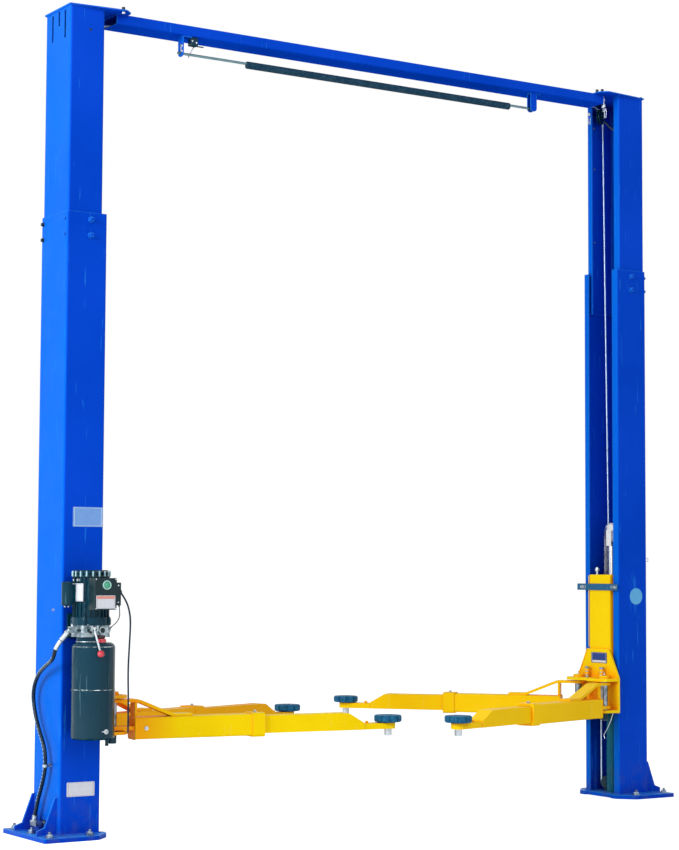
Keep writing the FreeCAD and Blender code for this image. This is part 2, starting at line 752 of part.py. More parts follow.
# Carriage: a hollow slide inside the column with a neck through its opening
def build_carriage(side_name, side):
    def slide_outline(inset):
        outline = [
            (carriage_back - inset, -carriage_half_width + inset),
            (carriage_back - inset, carriage_half_width - inset),
            (carriage_shoulder + inset, carriage_half_width - inset),
            (carriage_shoulder + inset, neck_half_width - inset),
            (carriage_front + inset, neck_half_width - inset),
            (carriage_front + inset, -neck_half_width + inset),
            (carriage_shoulder + inset, -neck_half_width + inset),
            (carriage_shoulder + inset, -carriage_half_width + inset),
        ]
        return [(x * side, column_y + y) for x, y in outline]
    slide = padded(f"{side_name}_slide", [slide_outline(as_size(0)), slide_outline(carriage_wall)],
                   carriage_bottom, carriage_top - carriage_bottom)
    outline = slide_outline(as_size(0))
    node(f"{side_name}_carriage",
         rounded(f"{side_name}_folded_slide", slide, "z", [outline[i] + (10,) for i in (0, 1, 4, 5)]))

    face = [
        (column_y - neck_half_width, yoke_top_z),
        (column_y + neck_half_width, yoke_top_z),
        (column_y + yoke_half_width, yoke_shoulder_z),
        (column_y + yoke_half_width, carriage_bottom),
        (column_y - yoke_half_width, carriage_bottom),
        (column_y - yoke_half_width, yoke_shoulder_z),
    ]
    start = carriage_front - yoke_plate if side > 0 else -carriage_front
    plate = padded(f"{side_name}_yoke_face", [face], start, yoke_plate, "YZ_Plane")
    shelf_back = carriage_front - yoke_plate + 1
    shelves = []
    for number, top in enumerate((shelf_top, lower_shelf_top)):
        corner = 32
        outline = [
            (shelf_back, column_y - yoke_half_width),
            (shelf_back, column_y + yoke_half_width),
            (shelf_reach + corner, column_y + yoke_half_width),
            (shelf_reach, column_y + yoke_half_width - corner),
            (shelf_reach, column_y + 36),
            (shelf_reach + 26, column_y + 14),
            (shelf_reach + 26, column_y - 14),
            (shelf_reach, column_y - 36),
            (shelf_reach, column_y - yoke_half_width + corner),
            (shelf_reach + corner, column_y - yoke_half_width),
        ]
        outline = [(x * side, y) for x, y in outline]
        shelf = padded(f"{side_name}_shelf_{number}", [outline], top - shelf_thickness, shelf_thickness)
        shelf = rounded(f"{side_name}_rounded_shelf_{number}", shelf, "z",
                        [outline[i] + (20,) for i in (2, 3, 8, 9)])
        pin_holes = [rod(f"{side_name}_shelf_hole_{number}_{end}", pin_radius + 0.1, 60,
                         (pin_x * side, column_y + pin_y * end, top - 40)) for end in (-1, 1)]
        shelves.append(cut(f"{side_name}_drilled_shelf_{number}", shelf,
                           group(f"{side_name}_shelf_holes_{number}", pin_holes)))
    node(f"{side_name}_arm_yoke", fuse(f"{side_name}_yoke", [plate] + shelves))

    # Each arm's pivot pin, and beside it the sprung rod that locks the arm's swing
    pins = []
    for number, end in enumerate((-1, 1)):
        at = (pin_x * side, column_y + pin_y * end)
        shank = rod(f"{side_name}_pin_{number}", pin_radius, shelf_top - (lower_shelf_top - pin_tail),
                    at + (lower_shelf_top - pin_tail,))
        pin_head = rod(f"{side_name}_pin_head_{number}", pin_radius + 8, 12, at + (shelf_top,))
        pins.append(fuse(f"{side_name}_headed_pin_{number}", [shank, pin_head]))
        lock_at = (lock_x * side, column_y + lock_y * end)
        lock_rod = rod(f"{side_name}_lock_rod_{number}", 7, lock_height, lock_at + (shelf_top,))
        lock_foot = rod(f"{side_name}_lock_foot_{number}", 12, 8, lock_at + (shelf_top,))
        lock_cap = rod(f"{side_name}_lock_cap_{number}", 12, 8, lock_at + (shelf_top + lock_height - 8,))
        pins.append(fuse(f"{side_name}_arm_lock_{number}", [lock_rod, lock_foot, lock_cap]))
    node(f"{side_name}_arm_pins", group(f"{side_name}_pin_pair", pins))

    blocks = []
    for number, (end, z) in enumerate(((-1, 480), (1, 480), (-1, 1080), (1, 1080))):
        near = column_y + carriage_half_width * end
        far = column_y + (lower_width / 2 - wall - 1.5) * end
        low, high = (near, far) if end > 0 else (far, near)
        blocks.append(side_box(f"{side_name}_block_{number}", side, carriage_shoulder + 6,
                               carriage_back - 12, low, high, z, z + block_height))
    node(f"{side_name}_slider_blocks", group(f"{side_name}_slider_set", blocks))

    node(f"{side_name}_carriage_strap",
         side_box(f"{side_name}_strap", side, carriage_front - 6, carriage_front,
                  column_y - strap_front, column_y + strap_back, strap_bottom, strap_top))


# An arm is drawn along +X from its pivot and then turned into place
def turned(name, solid, arm):
    side, end, turn, _ = ARMS[arm]
    moved = doc.addObject("Part::Compound", name)
    moved.Links = [solid]
    moved.Placement = FreeCAD.Placement(FreeCAD.Vector(0, 0, 0),
                                        FreeCAD.Rotation(FreeCAD.Vector(0, 0, 1), turn.value))
    place(moved, (pin_x * side, column_y + pin_y * end, 0))
    return moved


# Outer arm: square tube, collar at its mouth, bent strap and lug that hold the pivot pin
def build_outer_arm(arm):
    half = arm_tube / 2
    low = arm_middle_z - half
    high = arm_middle_z + half
    skin = box(f"{arm}_tube_skin", (arm_tube_start, -half, low), (arm_tube_end, half, high))
    edges = [(-half, low, 9), (-half, high, 9), (half, low, 9), (half, high, 9)]
    skin = rounded(f"{arm}_tube", skin, "x", edges)
    bore = box(f"{arm}_tube_bore", (arm_tube_start + 8, -half + arm_wall, low + arm_wall),
               (arm_tube_end + 10, half - arm_wall, high - arm_wall))
    lift = 6
    collar = box(f"{arm}_collar_skin", (arm_tube_end - collar_length, -half - lift, low - lift),
                 (arm_tube_end, half + lift, high + lift))
    edges = [(-half - lift, low - lift, 14), (-half - lift, high + lift, 14),
             (half + lift, low - lift, 14), (half + lift, high + lift, 14)]
    collar = rounded(f"{arm}_collar", collar, "x", edges)

    bar = as_size(14)
    gap_top = shelf_top - shelf_thickness - 6
    landing = high + bar - 2
    back = -strap_back_reach
    knee = strap_knee
    heel = strap_heel
    strap_points = [
        (back, gap_top),
        (knee, gap_top),
        (heel, landing),
        (strap_end, landing),
        (strap_end, landing - bar),
        (heel - 4, landing - bar),
        (knee - 4, gap_top - bar),
        (back, gap_top - bar),
    ]
    outer_bend = 90
    inner_bend = outer_bend - bar.value
    wide = strap_half_width
    eye_corners = [(back, -wide, 33), (back, wide, 33)]
    strap = padded(f"{arm}_strap", [strap_points], -wide, wide * 2, "XZ_Plane")
    strap = rounded(f"{arm}_bent_strap", strap, "y",
                    [(knee, gap_top, outer_bend), (knee - 4, gap_top - bar, inner_bend),
                     (heel, landing, inner_bend), (heel - 4, landing - bar, outer_bend)])
    strap = rounded(f"{arm}_rounded_strap", strap, "z", eye_corners)
    lug = box(f"{arm}_lower_lug", (back, -wide, lower_shelf_top + 6),
              (arm_tube_start + 20, wide, lower_shelf_top + 22))
    lug = rounded(f"{arm}_rounded_lug", lug, "z", eye_corners)
    post = box(f"{arm}_post", (arm_tube_start + 2, -30, high - 4), (arm_tube_start + 14, 30, gap_top - 8))
    body = fuse(f"{arm}_weldment", [skin, collar, strap, lug, post])
    eye = rod(f"{arm}_eye", pin_radius + 0.3, 300, (0, 0, lower_shelf_top))
    opened = cut(f"{arm}_weldment_cut", body, group(f"{arm}_voids", [bore, eye]))
    node(f"{arm}_outer_arm", turned(f"{arm}_outer_arm_placed", opened, arm))


# Inner arm: smaller tube cut down to a tongue that carries the screw and pad
def build_inner_arm(arm):
    reach = ARMS[arm][3]
    start = reach - inner_tube_length
    slope = reach - slope_start
    tall = inner_tube_height / 2
    broad = inner_tube_width / 2
    low = arm_middle_z - tall
    side_view = [
        (start, low),
        (start, arm_middle_z + tall),
        (slope, arm_middle_z + tall),
        (slope + slope_run, low + 34),
        (slope + slope_run, low),
    ]
    tube = padded(f"{arm}_inner_skin", [side_view], -broad, inner_tube_width, "XZ_Plane")
    tube = rounded(f"{arm}_inner_bent", tube, "y",
                   [(slope, arm_middle_z + tall, 26), (slope + slope_run, low + 34, 12)])
    inner_bore = box(f"{arm}_inner_bore",
                     (start - 10, -broad + inner_wall, low + inner_wall),
                     (slope - 12, broad - inner_wall, arm_middle_z + tall - inner_wall))
    hollow = cut(f"{arm}_inner_tube", tube, inner_bore)
    tongue = box(f"{arm}_tongue", (slope + slope_run - 20, -tongue_half_width, low),
                 (reach, tongue_half_width, low + tongue_thickness))
    tip = rod(f"{arm}_tongue_tip", tongue_half_width, tongue_thickness, (reach, 0, low))
    collar = rod(f"{arm}_screw_collar", tongue_half_width - 8, tongue_thickness + 3, (reach, 0, low))
    screw_hole = rod(f"{arm}_screw_hole", screw_radius + 0.3, 60, (reach, 0, low - 10))
    arm_body = fuse(f"{arm}_inner_weldment", [hollow, tongue, tip, collar])
    node(f"{arm}_arm_extension",
         turned(f"{arm}_arm_extension_placed", cut(f"{arm}_inner_weldment_cut", arm_body, screw_hole), arm))

    screw_foot = low - 34
    screw_profile = [
        (0, screw_foot),
        (screw_radius - 4, screw_foot),
        (screw_radius, screw_foot + 4),
        (screw_radius, pad_z + 8),
        (0, pad_z + 8),
    ]
    thread = revolved(f"{arm}_thread", screw_profile, (reach, 0, 0))
    node(f"{arm}_pad_screw", turned(f"{arm}_pad_screw_placed", thread, arm))

    # Rubber pad: a disc with a dished top and notches round its rim
    pad_top = pad_z + pad_height
    profile = [
        (0, pad_z + 8),
        (screw_radius, pad_z + 8),
        (screw_radius, pad_z),
        (pad_radius - 5, pad_z),
        (pad_radius, pad_z + 6),
        (pad_radius, pad_top - 5),
        (pad_radius - 5, pad_top),
        (20, pad_top),
        (16, pad_top - 3),
        (0, pad_top - 3),
    ]
    body = doc.addObject("PartDesign::Body", f"{arm}_pad_body")
    sketch = sketch_on(body, "XZ_Plane", f"{arm}_pad_profile", [profile])
    disc = body.newObject("PartDesign::Revolution", f"{arm}_pad_disc")
    disc.Profile = sketch
    disc.ReferenceAxis = (sketch, ["V_Axis"])
    disc.Angle = 360
    notch_outline = [
        (pad_radius + 4, -7),
        (pad_radius + 4, 7),
        (pad_radius - 6, 3),
        (pad_radius - 6, -3),
    ]
    notch_sketch = sketch_on(body, "XY_Plane", f"{arm}_notch_outline", [notch_outline])
    notch = body.newObject("PartDesign::Pocket", f"{arm}_notch")
    notch.Profile = notch_sketch
    notch.Type = 1
    notch.Reversed = True
    ring = body.newObject("PartDesign::PolarPattern", f"{arm}_notch_ring")
    ring.Originals = [notch]
    ring.Axis = (notch_sketch, ["N_Axis"])
    ring.Angle = 360
    ring.Occurrences = notch_count
    body.Tip = ring
    place(body, (reach, 0, 0))
    node(f"{arm}_pad", turned(f"{arm}_pad_placed", body, arm))


# Electric motor: turned shell with upright fins between its flange and its fan cover
def build_motor(x, y):
    flange_top = manifold_top + 34
    cover = motor_top - 30
    core = motor_radius - fin_depth
    profile = [
        (0, manifold_top),
        (motor_radius, manifold_top),
        (motor_radius, flange_top),
        (core, flange_top),
        (core, cover),
        (motor_radius, cover),
        (motor_radius, motor_top - 8),
        (motor_radius - 14, motor_top),
        (0, motor_top),
    ]
    body = doc.addObject("PartDesign::Body", "motor_shell")
    sketch = sketch_on(body, "XZ_Plane", "motor_profile", [profile])
    shell = body.newObject("PartDesign::Revolution", "motor_turn")
    shell.Profile = sketch
    shell.ReferenceAxis = (sketch, ["V_Axis"])
    shell.Angle = 360
    fin_half = 2
    root = core - 2
    tip = motor_radius - 1
    fin_outline = [(root, -fin_half), (root, fin_half), (tip, fin_half), (tip, -fin_half)]
    fin_sketch = sketch_on(body, "XY_Plane", "fin_outline", [fin_outline])
    bind(fin_sketch, "AttachmentOffset.Base.z", flange_top - 2)
    fin = body.newObject("PartDesign::Pad", "fin")
    fin.Profile = fin_sketch
    bind(fin, "Length", cover - flange_top + 4)
    fins = body.newObject("PartDesign::PolarPattern", "fin_ring")
    fins.Originals = [fin]
    fins.Axis = (fin_sketch, ["N_Axis"])
    fins.Angle = 360
    fins.Occurrences = fin_count
    body.Tip = fins
    vent_half = 5
    rim = motor_radius + 4
    vent_outline = [(core, -vent_half), (core, vent_half), (rim, vent_half), (rim, -vent_half)]
    vent_sketch = sketch_on(body, "XY_Plane", "vent_outline", [vent_outline])
    bind(vent_sketch, "AttachmentOffset.Base.z", cover + 6)
    vent = body.newObject("PartDesign::Pocket", "vent")
    vent.Profile = vent_sketch
    vent.Reversed = True
    vent.Length = 12
    vents = body.newObject("PartDesign::PolarPattern", "vent_ring")
    vents.Originals = [vent]
    vents.Axis = (vent_sketch, ["N_Axis"])
    vents.Angle = 360
    vents.Occurrences = vent_count
    body.Tip = vents
    place(body, (x, y, 0))

    outer = motor_radius + 58
    inner = motor_radius + 16
    capacitor_half = 25
    capacitor = box("capacitor_shell", (x - outer, y - capacitor_half, capacitor_bottom),
                    (x - inner, y + capacitor_half, capacitor_top))
    capacitor = rounded("capacitor_cover", capacitor, "z",
                        [(x - reach, y + capacitor_half * end, radius)
                         for reach, radius in ((outer, 24), (inner, 10)) for end in (-1, 1)])
    foot_half = 16
    capacitor_foot = box("capacitor_foot", (x - inner - 6, y - foot_half, capacitor_bottom + 12),
                         (x - inner + 40, y + foot_half, capacitor_top - 12))
    pad_half = 50
    terminal_pad = box("terminal_pad", (x - pad_half, y - switch_back, switch_bottom + 13),
                       (x + pad_half, y - motor_radius + 24, switch_top - 13))
    node("motor", fuse("motor_body", [body, capacitor, capacitor_foot, terminal_pad]))


# A round sleeve in line with the first run of a route, filling the distance before its start
def sleeve_before(name, route, radius, distance):
    first = FreeCAD.Vector(*route[0])
    run = (FreeCAD.Vector(*route[1]) - first).normalize()
    at = first - run * distance
    return rod(name, radius, distance - 0.1, (at.x, column_y + at.y, at.z), run)


# Tank below the manifold, with its pressed rims, seam, neck, drain plug and filler spout
def build_tank(y):
    seam = 1.5
    seam_half = 3
    profile = [
        (0, tank_bottom),
        (tank_radius, tank_bottom),
        (tank_radius, tank_seam - seam_half),
        (tank_radius + seam, tank_seam - seam_half),
        (tank_radius + seam, tank_seam + seam_half),
        (tank_radius, tank_seam + seam_half),
        (tank_radius, tank_top),
        (0, tank_top),
    ]
    shell = revolved("tank_shell", profile, (unit_x, y, 0))
    shell = rimmed("tank_pressing", shell, [(tank_bottom, tank_radius, 14), (tank_top, tank_radius, 26)])
    neck = rod("tank_neck", neck_radius, manifold_bottom - tank_top + 6, (motor_x, y, tank_top - 6))
    drain_at = (11, -85)
    drain = rod("drain_plug", 11, 22, (unit_x + drain_at[0], y + drain_at[1], 492), drain_at + (0,))
    spout_y = y - 82
    spout = rod("filler_spout", 11, 40, (unit_x, spout_y, 846))
    node("oil_tank", fuse("tank_and_spout", [shell, neck, drain, spout]))
    node("filler_cap", rod("filler_cap_body", 15, 16, (unit_x, spout_y, 886)))


# Power unit on the front of the left column
def build_power_unit():
    x = motor_x
    y = column_y + unit_y
    build_tank(y)

    reach = manifold_reach
    half = manifold_half_width
    block = box("manifold_block", (x - reach, y - half, manifold_bottom), (x + reach, y + half, manifold_top))
    block = rounded("manifold_casting", block, "z",
                    [(x + reach * u, y + half * v, 12) for u in (-1, 1) for v in (-1, 1)])
    cheeks = [box(f"lever_cheek_{number}", (lever_x + near, column_y + lever_y - 12, lever_z - 14),
                  (lever_x + near + 8, y - half + 2, manifold_top)) for number, near in enumerate((-18, 10))]
    lever_pin = rod("lever_pin", 4, 36, (lever_x - 18, column_y + lever_y, lever_z), (1, 0, 0))
    plug = rod("port_plug", 13, 12, (x + 25, y - half - 8, 938), (0, 1, 0))
    wire_gland = sleeve_before("wire_gland", WIRE_ROUTE[::-1], 3.5, 20)
    node("pump_manifold",
         fuse("pump_body", [block, lever_pin, wire_gland, plug] + cheeks))

    build_motor(x, y)

    half = switch_half_width
    front = y - switch_front
    cabinet = box("switch_shell", (x - half, front, switch_bottom), (x + half, y - switch_back, switch_top))
    cabinet = rounded("switch_moulding", cabinet, "z", [(x - half, front, 8), (x + half, front, 8)])
    side_cover = box("switch_side_cover", (x + half - 2, front + 8, switch_bottom + 19),
                     (x + half + 23, front + 50, switch_top - 20))
    lead_gland = sleeve_before("lead_gland", LEAD_ROUTE, 7, 14)
    wire_exit = sleeve_before("wire_exit", WIRE_ROUTE, 3.5, 8)
    node("switch_box", fuse("switch_body", [cabinet, side_cover, lead_gland, wire_exit]))
    node("start_button", rod("button_body", 21, 9, (x + 3, front - 9, 1140), (0, 1, 0)))

    face = column_y - lower_width / 2
    plate_half = 62
    plate = box("bracket_plate", (x - plate_half, face - 10, 900), (x + plate_half, face, 1010))
    arm_half = 44
    arm_block = box("bracket_block", (x - arm_half, y + manifold_half_width, manifold_bottom + 4),
                    (x + arm_half, face - 8, manifold_top - 6))
    node("unit_bracket", fuse("bracket_weldment", [plate, arm_block]))

    hub = rod("lever_hub", 9, 18, (lever_x - 9, column_y + lever_y, lever_z), (1, 0, 0))
    bar = rod("lever_bar", 4.5, math.hypot(*lever_fall), (lever_x, column_y + lever_y, lever_z), lever_fall)
    ball = doc.addObject("Part::Sphere", "lever_ball")
    ball.Radius = ball_radius
    place(ball, (lever_x + lever_fall[0], column_y + lever_y + lever_fall[1], lever_z + lever_fall[2]))
    bore = rod("lever_hub_bore", 4.3, 60, (lever_x - 30, column_y + lever_y, lever_z), (1, 0, 0))
    node("release_lever", cut("lever_bored", fuse("lever_and_ball", [hub, bar, ball]), bore))


# A cord swept along its route, with its bends as wide as the runs allow
def build_cord(name, route, radius):
    route = [(x, column_y + y, z) for x, y, z in route]
    node(name, swept(f"{name}_sweep", route, cord_bends(route), radius))


# Hose fittings: elbow at the manifold, elbow into the column's foot, and a clip between them
def build_hose_fittings():
    port_end = motor_x - manifold_reach
    port = box("hose_port_block", (port_end - 28, column_y - 256, 926), (port_end, column_y - 230, 954))
    elbow = sleeve_before("hose_elbow", HOSE_ROUTE, 11, 60)
    ferrule = sleeve_before("hose_ferrule", HOSE_ROUTE, 12, 42)
    upper = fuse("hose_upper_fitting", [port, elbow, ferrule])

    end_ferrule = sleeve_before("hose_end_ferrule", HOSE_ROUTE[::-1], 12, 38)
    end_x = HOSE_ROUTE[-1][0]
    end_elbow = box("hose_end_elbow", (end_x - 13, column_y + 6, 47), (end_x + 13, column_y + 70, 71))
    end_tail = rod("hose_end_tail", 9, 57, (end_x - 11, column_y + 18, 59), (1, 0, 0))
    lower = fuse("hose_lower_fitting", [end_ferrule, end_elbow, end_tail])

    clip_y = -56.5
    clip_ring = rod("hose_clip_ring", 13, 12, (end_x, column_y + clip_y, clip_z - 6))
    clip_hole = rod("hose_clip_hole", 10.2, 30, (end_x, column_y + clip_y, clip_z - 14))
    clip_tail = box("hose_clip_tail", (end_x + 11, column_y + clip_y - 5.5, clip_z - 6),
                    (-outer_face, column_y + clip_y + 5.5, clip_z + 6))
    clip = cut("hose_clip", fuse("hose_clip_blank", [clip_ring, clip_tail]), clip_hole)
    node("hose_fittings", group("hose_fitting_set", [upper, lower, clip]))


# Overhead shut-off bar: hinged at its right end, resting in a slotted hanger at its left end
def build_shut_off_bar():
    y = column_y + bar_y
    under = column_top - cap_thickness - beam_height
    foot = bar_z - 16
    half = 24
    flange = 6
    flange_reach = 46
    slotted = box("hanger_left_plate", (hanger_x - hanger_plate / 2, y - half, foot),
                  (hanger_x + hanger_plate / 2, y + half, under))
    slotted = rounded("hanger_left_rounded", slotted, "x", [(y - half, foot, 20), (y + half, foot, 20)])
    slot = box("hanger_slot", (hanger_x - 20, y - bar_radius - 2, bar_z - bar_radius),
               (hanger_x + 20, y + bar_radius + 2, bar_z + 46))
    left_flange = box("hanger_left_flange", (hanger_x - hanger_plate / 2, y - half, under - flange),
                      (hanger_x + flange_reach, y + half, under))
    cheeks = []
    cheek_half = 20
    gap = 11
    for number, end in enumerate((-1, 1)):
        middle = y + end * (gap + hanger_plate / 2)
        cheek = box(f"hanger_cheek_{number}", (bar_pivot_x - cheek_half, middle - hanger_plate / 2, foot),
                    (bar_pivot_x + cheek_half, middle + hanger_plate / 2, under))
        cheeks.append(rounded(f"hanger_cheek_rounded_{number}", cheek, "y",
                              [(bar_pivot_x - cheek_half, foot, 18), (bar_pivot_x + cheek_half, foot, 18)]))
    span = gap + hanger_plate
    pivot_pin = rod("bar_pivot_pin", pivot_radius, span * 2, (bar_pivot_x, y - span, bar_z), (0, 1, 0))
    right_flange = box("hanger_right_flange", (bar_pivot_x - cheek_half, y - span, under - flange),
                       (bar_pivot_x + flange_reach, y + span, under))
    node("bar_hangers", group("hanger_set", [
        cut("hanger_left", fuse("hanger_left_weldment", [slotted, left_flange]), slot),
        fuse("hanger_right", cheeks + [pivot_pin, right_flange])]))

    switch_height = 40
    switch = box("limit_switch_body", (hanger_x + flange_reach, y - 15, under - switch_height),
                 (hanger_x + flange_reach + 38, y + 15, under))
    lever = box("limit_switch_lever", (hanger_x + flange_reach + 34, y - 4, under - switch_height),
                (hanger_x + flange_reach + 76, y + 4, under - switch_height + 4))
    node("limit_switch", fuse("limit_switch_set", [switch, lever]))

    rail = rod("bar_rail", bar_radius, bar_pivot_x - bar_left_end - 8, (bar_left_end, y, bar_z), (1, 0, 0))
    sleeve = rod("bar_sleeve", sleeve_radius, sleeve_length, (sleeve_start, y, bar_z - 6), (1, 0, 0))
    eye = rod("bar_eye", 11, 20, (bar_pivot_x, y - 10, bar_z), (0, 1, 0))
    eye_bore = rod("bar_eye_bore", pivot_radius + 0.3, 40, (bar_pivot_x, y - 20, bar_z), (0, 1, 0))
    node("shut_off_bar", cut("bar_bored", fuse("bar_assembly", [rail, sleeve, eye]), eye_bore))


all_ribs = []
all_caps = []
for side_name, side in (("left", -1), ("right", 1)):
    all_ribs += build_base(side_name, side)
    build_column(side_name, side)
    all_caps.append(build_cap(side_name, side))
    build_lift_drive(side_name, side)
    build_carriage(side_name, side)
node("base_gussets", group("all_gussets", all_ribs))
node("top_plates", group("both_caps", all_caps))
build_beam()
build_ropes_and_pulleys()
build_power_unit()
build_cord("hydraulic_hose", HOSE_ROUTE, hose_radius)
build_hose_fittings()
build_cord("power_lead", LEAD_ROUTE, lead_radius)
build_cord("switch_wire", WIRE_ROUTE, wire_radius)
build_shut_off_bar()
for arm in ARMS:
    build_outer_arm(arm)
    build_inner_arm(arm)

doc.recompute()
failed = [o.Name for o in doc.Objects if "Invalid" in o.State or "Error" in o.State]
if failed:
    raise SystemExit(f"failed objects: {failed}")
for name, solid in nodes.items():
    shape = solid.Shape
    if shape.isNull() or not shape.isValid() or not shape.Solids:
        raise SystemExit(f"bad shape: {name}")
for name, solid in nodes.items():
    solid.Shape.exportStep(f"parts/{name}.step")
print(len(nodes), "pieces written")
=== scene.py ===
# %% [markdown]
# A two post car lift stands on the floor of a workshop. Two folded steel columns carry a
# crossbeam, a yellow carriage slides in each column, and two telescoping arms turn on each
# carriage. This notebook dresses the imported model: camera, cords, lights, finishes, then the
# small pieces that a fitter would notice.

# %% Load the frame
import json
import math
import bpy
import numpy as np
from mathutils import Matrix, Vector


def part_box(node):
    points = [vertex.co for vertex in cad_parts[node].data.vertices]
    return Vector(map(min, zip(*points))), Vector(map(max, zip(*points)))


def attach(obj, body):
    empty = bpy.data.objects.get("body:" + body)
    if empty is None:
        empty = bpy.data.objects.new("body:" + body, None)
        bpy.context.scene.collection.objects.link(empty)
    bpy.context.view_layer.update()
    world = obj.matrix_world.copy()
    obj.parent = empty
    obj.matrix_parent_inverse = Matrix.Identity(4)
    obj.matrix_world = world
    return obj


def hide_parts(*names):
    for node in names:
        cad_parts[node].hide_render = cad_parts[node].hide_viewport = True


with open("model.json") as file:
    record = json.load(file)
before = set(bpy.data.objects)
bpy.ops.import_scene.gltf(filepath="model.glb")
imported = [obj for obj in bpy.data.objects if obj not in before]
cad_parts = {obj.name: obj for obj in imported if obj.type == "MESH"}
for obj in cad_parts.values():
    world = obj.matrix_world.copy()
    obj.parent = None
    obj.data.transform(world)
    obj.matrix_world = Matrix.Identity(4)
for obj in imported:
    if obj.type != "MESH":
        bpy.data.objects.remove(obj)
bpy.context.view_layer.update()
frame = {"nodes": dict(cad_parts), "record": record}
nodes = frame["nodes"]

# %% [markdown]
# Everything is placed from one line of the model, the middle plane of the columns, and from the
# floor. The line is read from the frame, so nothing has to be fitted later. The directions have
# names, as they are seen by somebody who stands in front of the lift.

# %% Reference line and directions
column_low, column_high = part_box("left_lower_column")
COLUMN_Y = (column_low.y + column_high.y) / 2
TO_RIGHT, TO_LEFT = (1, 0, 0), (-1, 0, 0)
TO_BACK, TO_FRONT = (0, 1, 0), (0, -1, 0)
UP, DOWN = (0, 0, 1), (0, 0, -1)
SIDES = (("left", -1), ("right", 1))
print("column line", round(COLUMN_Y, 4))


def at_column(x, y, z):
    """A point given from the column line, as a point of the frame."""
    return (x, COLUMN_Y + y, z)


# %% [markdown]
# The photograph was taken from the left of the lift, at chest height, with a long lens held
# almost level. The camera is set by where it stands, how far it is turned from the beam's
# square, how far it looks up, and a slight roll.

# %% Camera
def camera_axes(yaw, pitch, roll):
    """Right, up and forward unit vectors: forward is +Y turned by yaw towards +X and lifted
    by pitch, right is level and square to it, and roll turns right towards up."""
    forward = np.array([math.sin(yaw) * math.cos(pitch), math.cos(yaw) * math.cos(pitch),
                        math.sin(pitch)])
    right = np.array([math.cos(yaw), -math.sin(yaw), 0.0])
    up = np.cross(right, forward)
    turned_right = math.cos(roll) * right + math.sin(roll) * up
    turned_up = -math.sin(roll) * right + math.cos(roll) * up
    return turned_right, turned_up, forward


YAW, PITCH, ROLL = (math.radians(degrees) for degrees in (32.91, 3.94, 0.28))
STANDPOINT = at_column(-5.7465, -8.6278, 1.2261)
LENS_MM, SENSOR_MM, FAR_CLIP = 87.13, 36.0, 60.0
right, up, forward = camera_axes(YAW, PITCH, ROLL)
camera_data = bpy.data.cameras.new("camera")
camera_data.lens = LENS_MM
camera_data.sensor_width = SENSOR_MM
camera_data.clip_end = FAR_CLIP
camera = bpy.data.objects.new("camera", camera_data)
turn = Matrix(np.column_stack([right, up, -forward]).tolist()).to_4x4()
camera.matrix_world = Matrix.Translation(Vector(STANDPOINT)) @ turn
bpy.context.scene.collection.objects.link(camera)
bpy.context.scene.camera = camera
print("camera at", [round(v, 3) for v in camera.matrix_world.translation])

# %% [markdown]
# Three loose lines hang on the power unit's column: the hydraulic hose, the supply lead and
# the thin wire from the switch box to the pump. Each is a smooth spline through air, held
# only at its ends and by a clip, so a handful of control points is enough. A NURBS spline of
# order three rounds the corners between them the way rubber does.

# %% Helper for cords
def cord_spline(name, route, radius):
    """Open NURBS curve of order 3 whose control points are the route. Its section is a circle of
    radius 1, which each control point scales down to the cord's own radius."""
    curve = bpy.data.curves.new(name, "CURVE")
    curve.dimensions = "3D"
    curve.resolution_u = 12
    curve.bevel_depth = 1.0
    curve.bevel_resolution = 5
    curve.use_fill_caps = True
    spline = curve.splines.new("NURBS")
    spline.points.add(len(route) - 1)
    for point, place in zip(spline.points, route):
        point.co, point.radius = (*place, 1.0), radius
    spline.order_u = 3
    spline.use_endpoint_u = True
    piece = bpy.data.objects.new(name, curve)
    bpy.context.scene.collection.objects.link(piece)
    return piece


def spline_points(cord):
    """Points along a cord's own spline, read from a copy of it that has no section."""
    bare = bpy.data.objects.new("bare_line", cord.data.copy())
    bare.data.bevel_depth = 0.0
    mesh = bpy.data.meshes.new_from_object(bare)
    points = np.empty(len(mesh.vertices) * 3)
    mesh.vertices.foreach_get("co", points)
    line = bare.data
    bpy.data.objects.remove(bare)
    bpy.data.curves.remove(line)
    bpy.data.meshes.remove(mesh)
    return points.reshape(-1, 3)


# %% Hydraulic hose, supply lead and switch wire
def laid_cord(name, points, radius, node):
    """Cord through points given from the column line, on the lift's fixed body and in the place
    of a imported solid, together with its route in the frame."""
    route = [at_column(*point) for point in points]
    cord = cord_spline(name, route, radius)
    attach(cord, "root")
    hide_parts(node)
    return cord, route


hose, hose_route = laid_cord("hose_line", ((-1.776, -0.220, 0.894), (-1.797, -0.204, 0.862),
                                           (-1.801, -0.190, 0.806), (-1.789, -0.092, 0.778),
                                           (-1.777, 0.024, 0.730), (-1.770, 0.091, 0.650),
                                           (-1.770, 0.066, 0.558), (-1.770, 0.014, 0.478),
                                           (-1.770, -0.046, 0.408), (-1.770, -0.062, 0.324),
                                           (-1.770, -0.030, 0.245), (-1.770, 0.021, 0.160),
                                           (-1.770, 0.043, 0.096)), 0.009, "hydraulic_hose")

lead, lead_route = laid_cord("lead_line", ((-1.568, -0.389, 1.104), (-1.550, -0.394, 1.078),
                                           (-1.534, -0.398, 1.040), (-1.525, -0.402, 0.985),
                                           (-1.532, -0.406, 0.880), (-1.537, -0.404, 0.765),
                                           (-1.534, -0.405, 0.640), (-1.532, -0.402, 0.545),
                                           (-1.533, -0.403, 0.486)), 0.004, "power_lead")

wire, wire_route = laid_cord("wire_line", ((-1.579, -0.394, 1.044), (-1.575, -0.391, 1.022),
                                           (-1.569, -0.380, 0.998), (-1.572, -0.357, 0.972),
                                           (-1.584, -0.331, 0.953)), 0.002, "switch_wire")
print("cords:", hose.name, lead.name, wire.name)

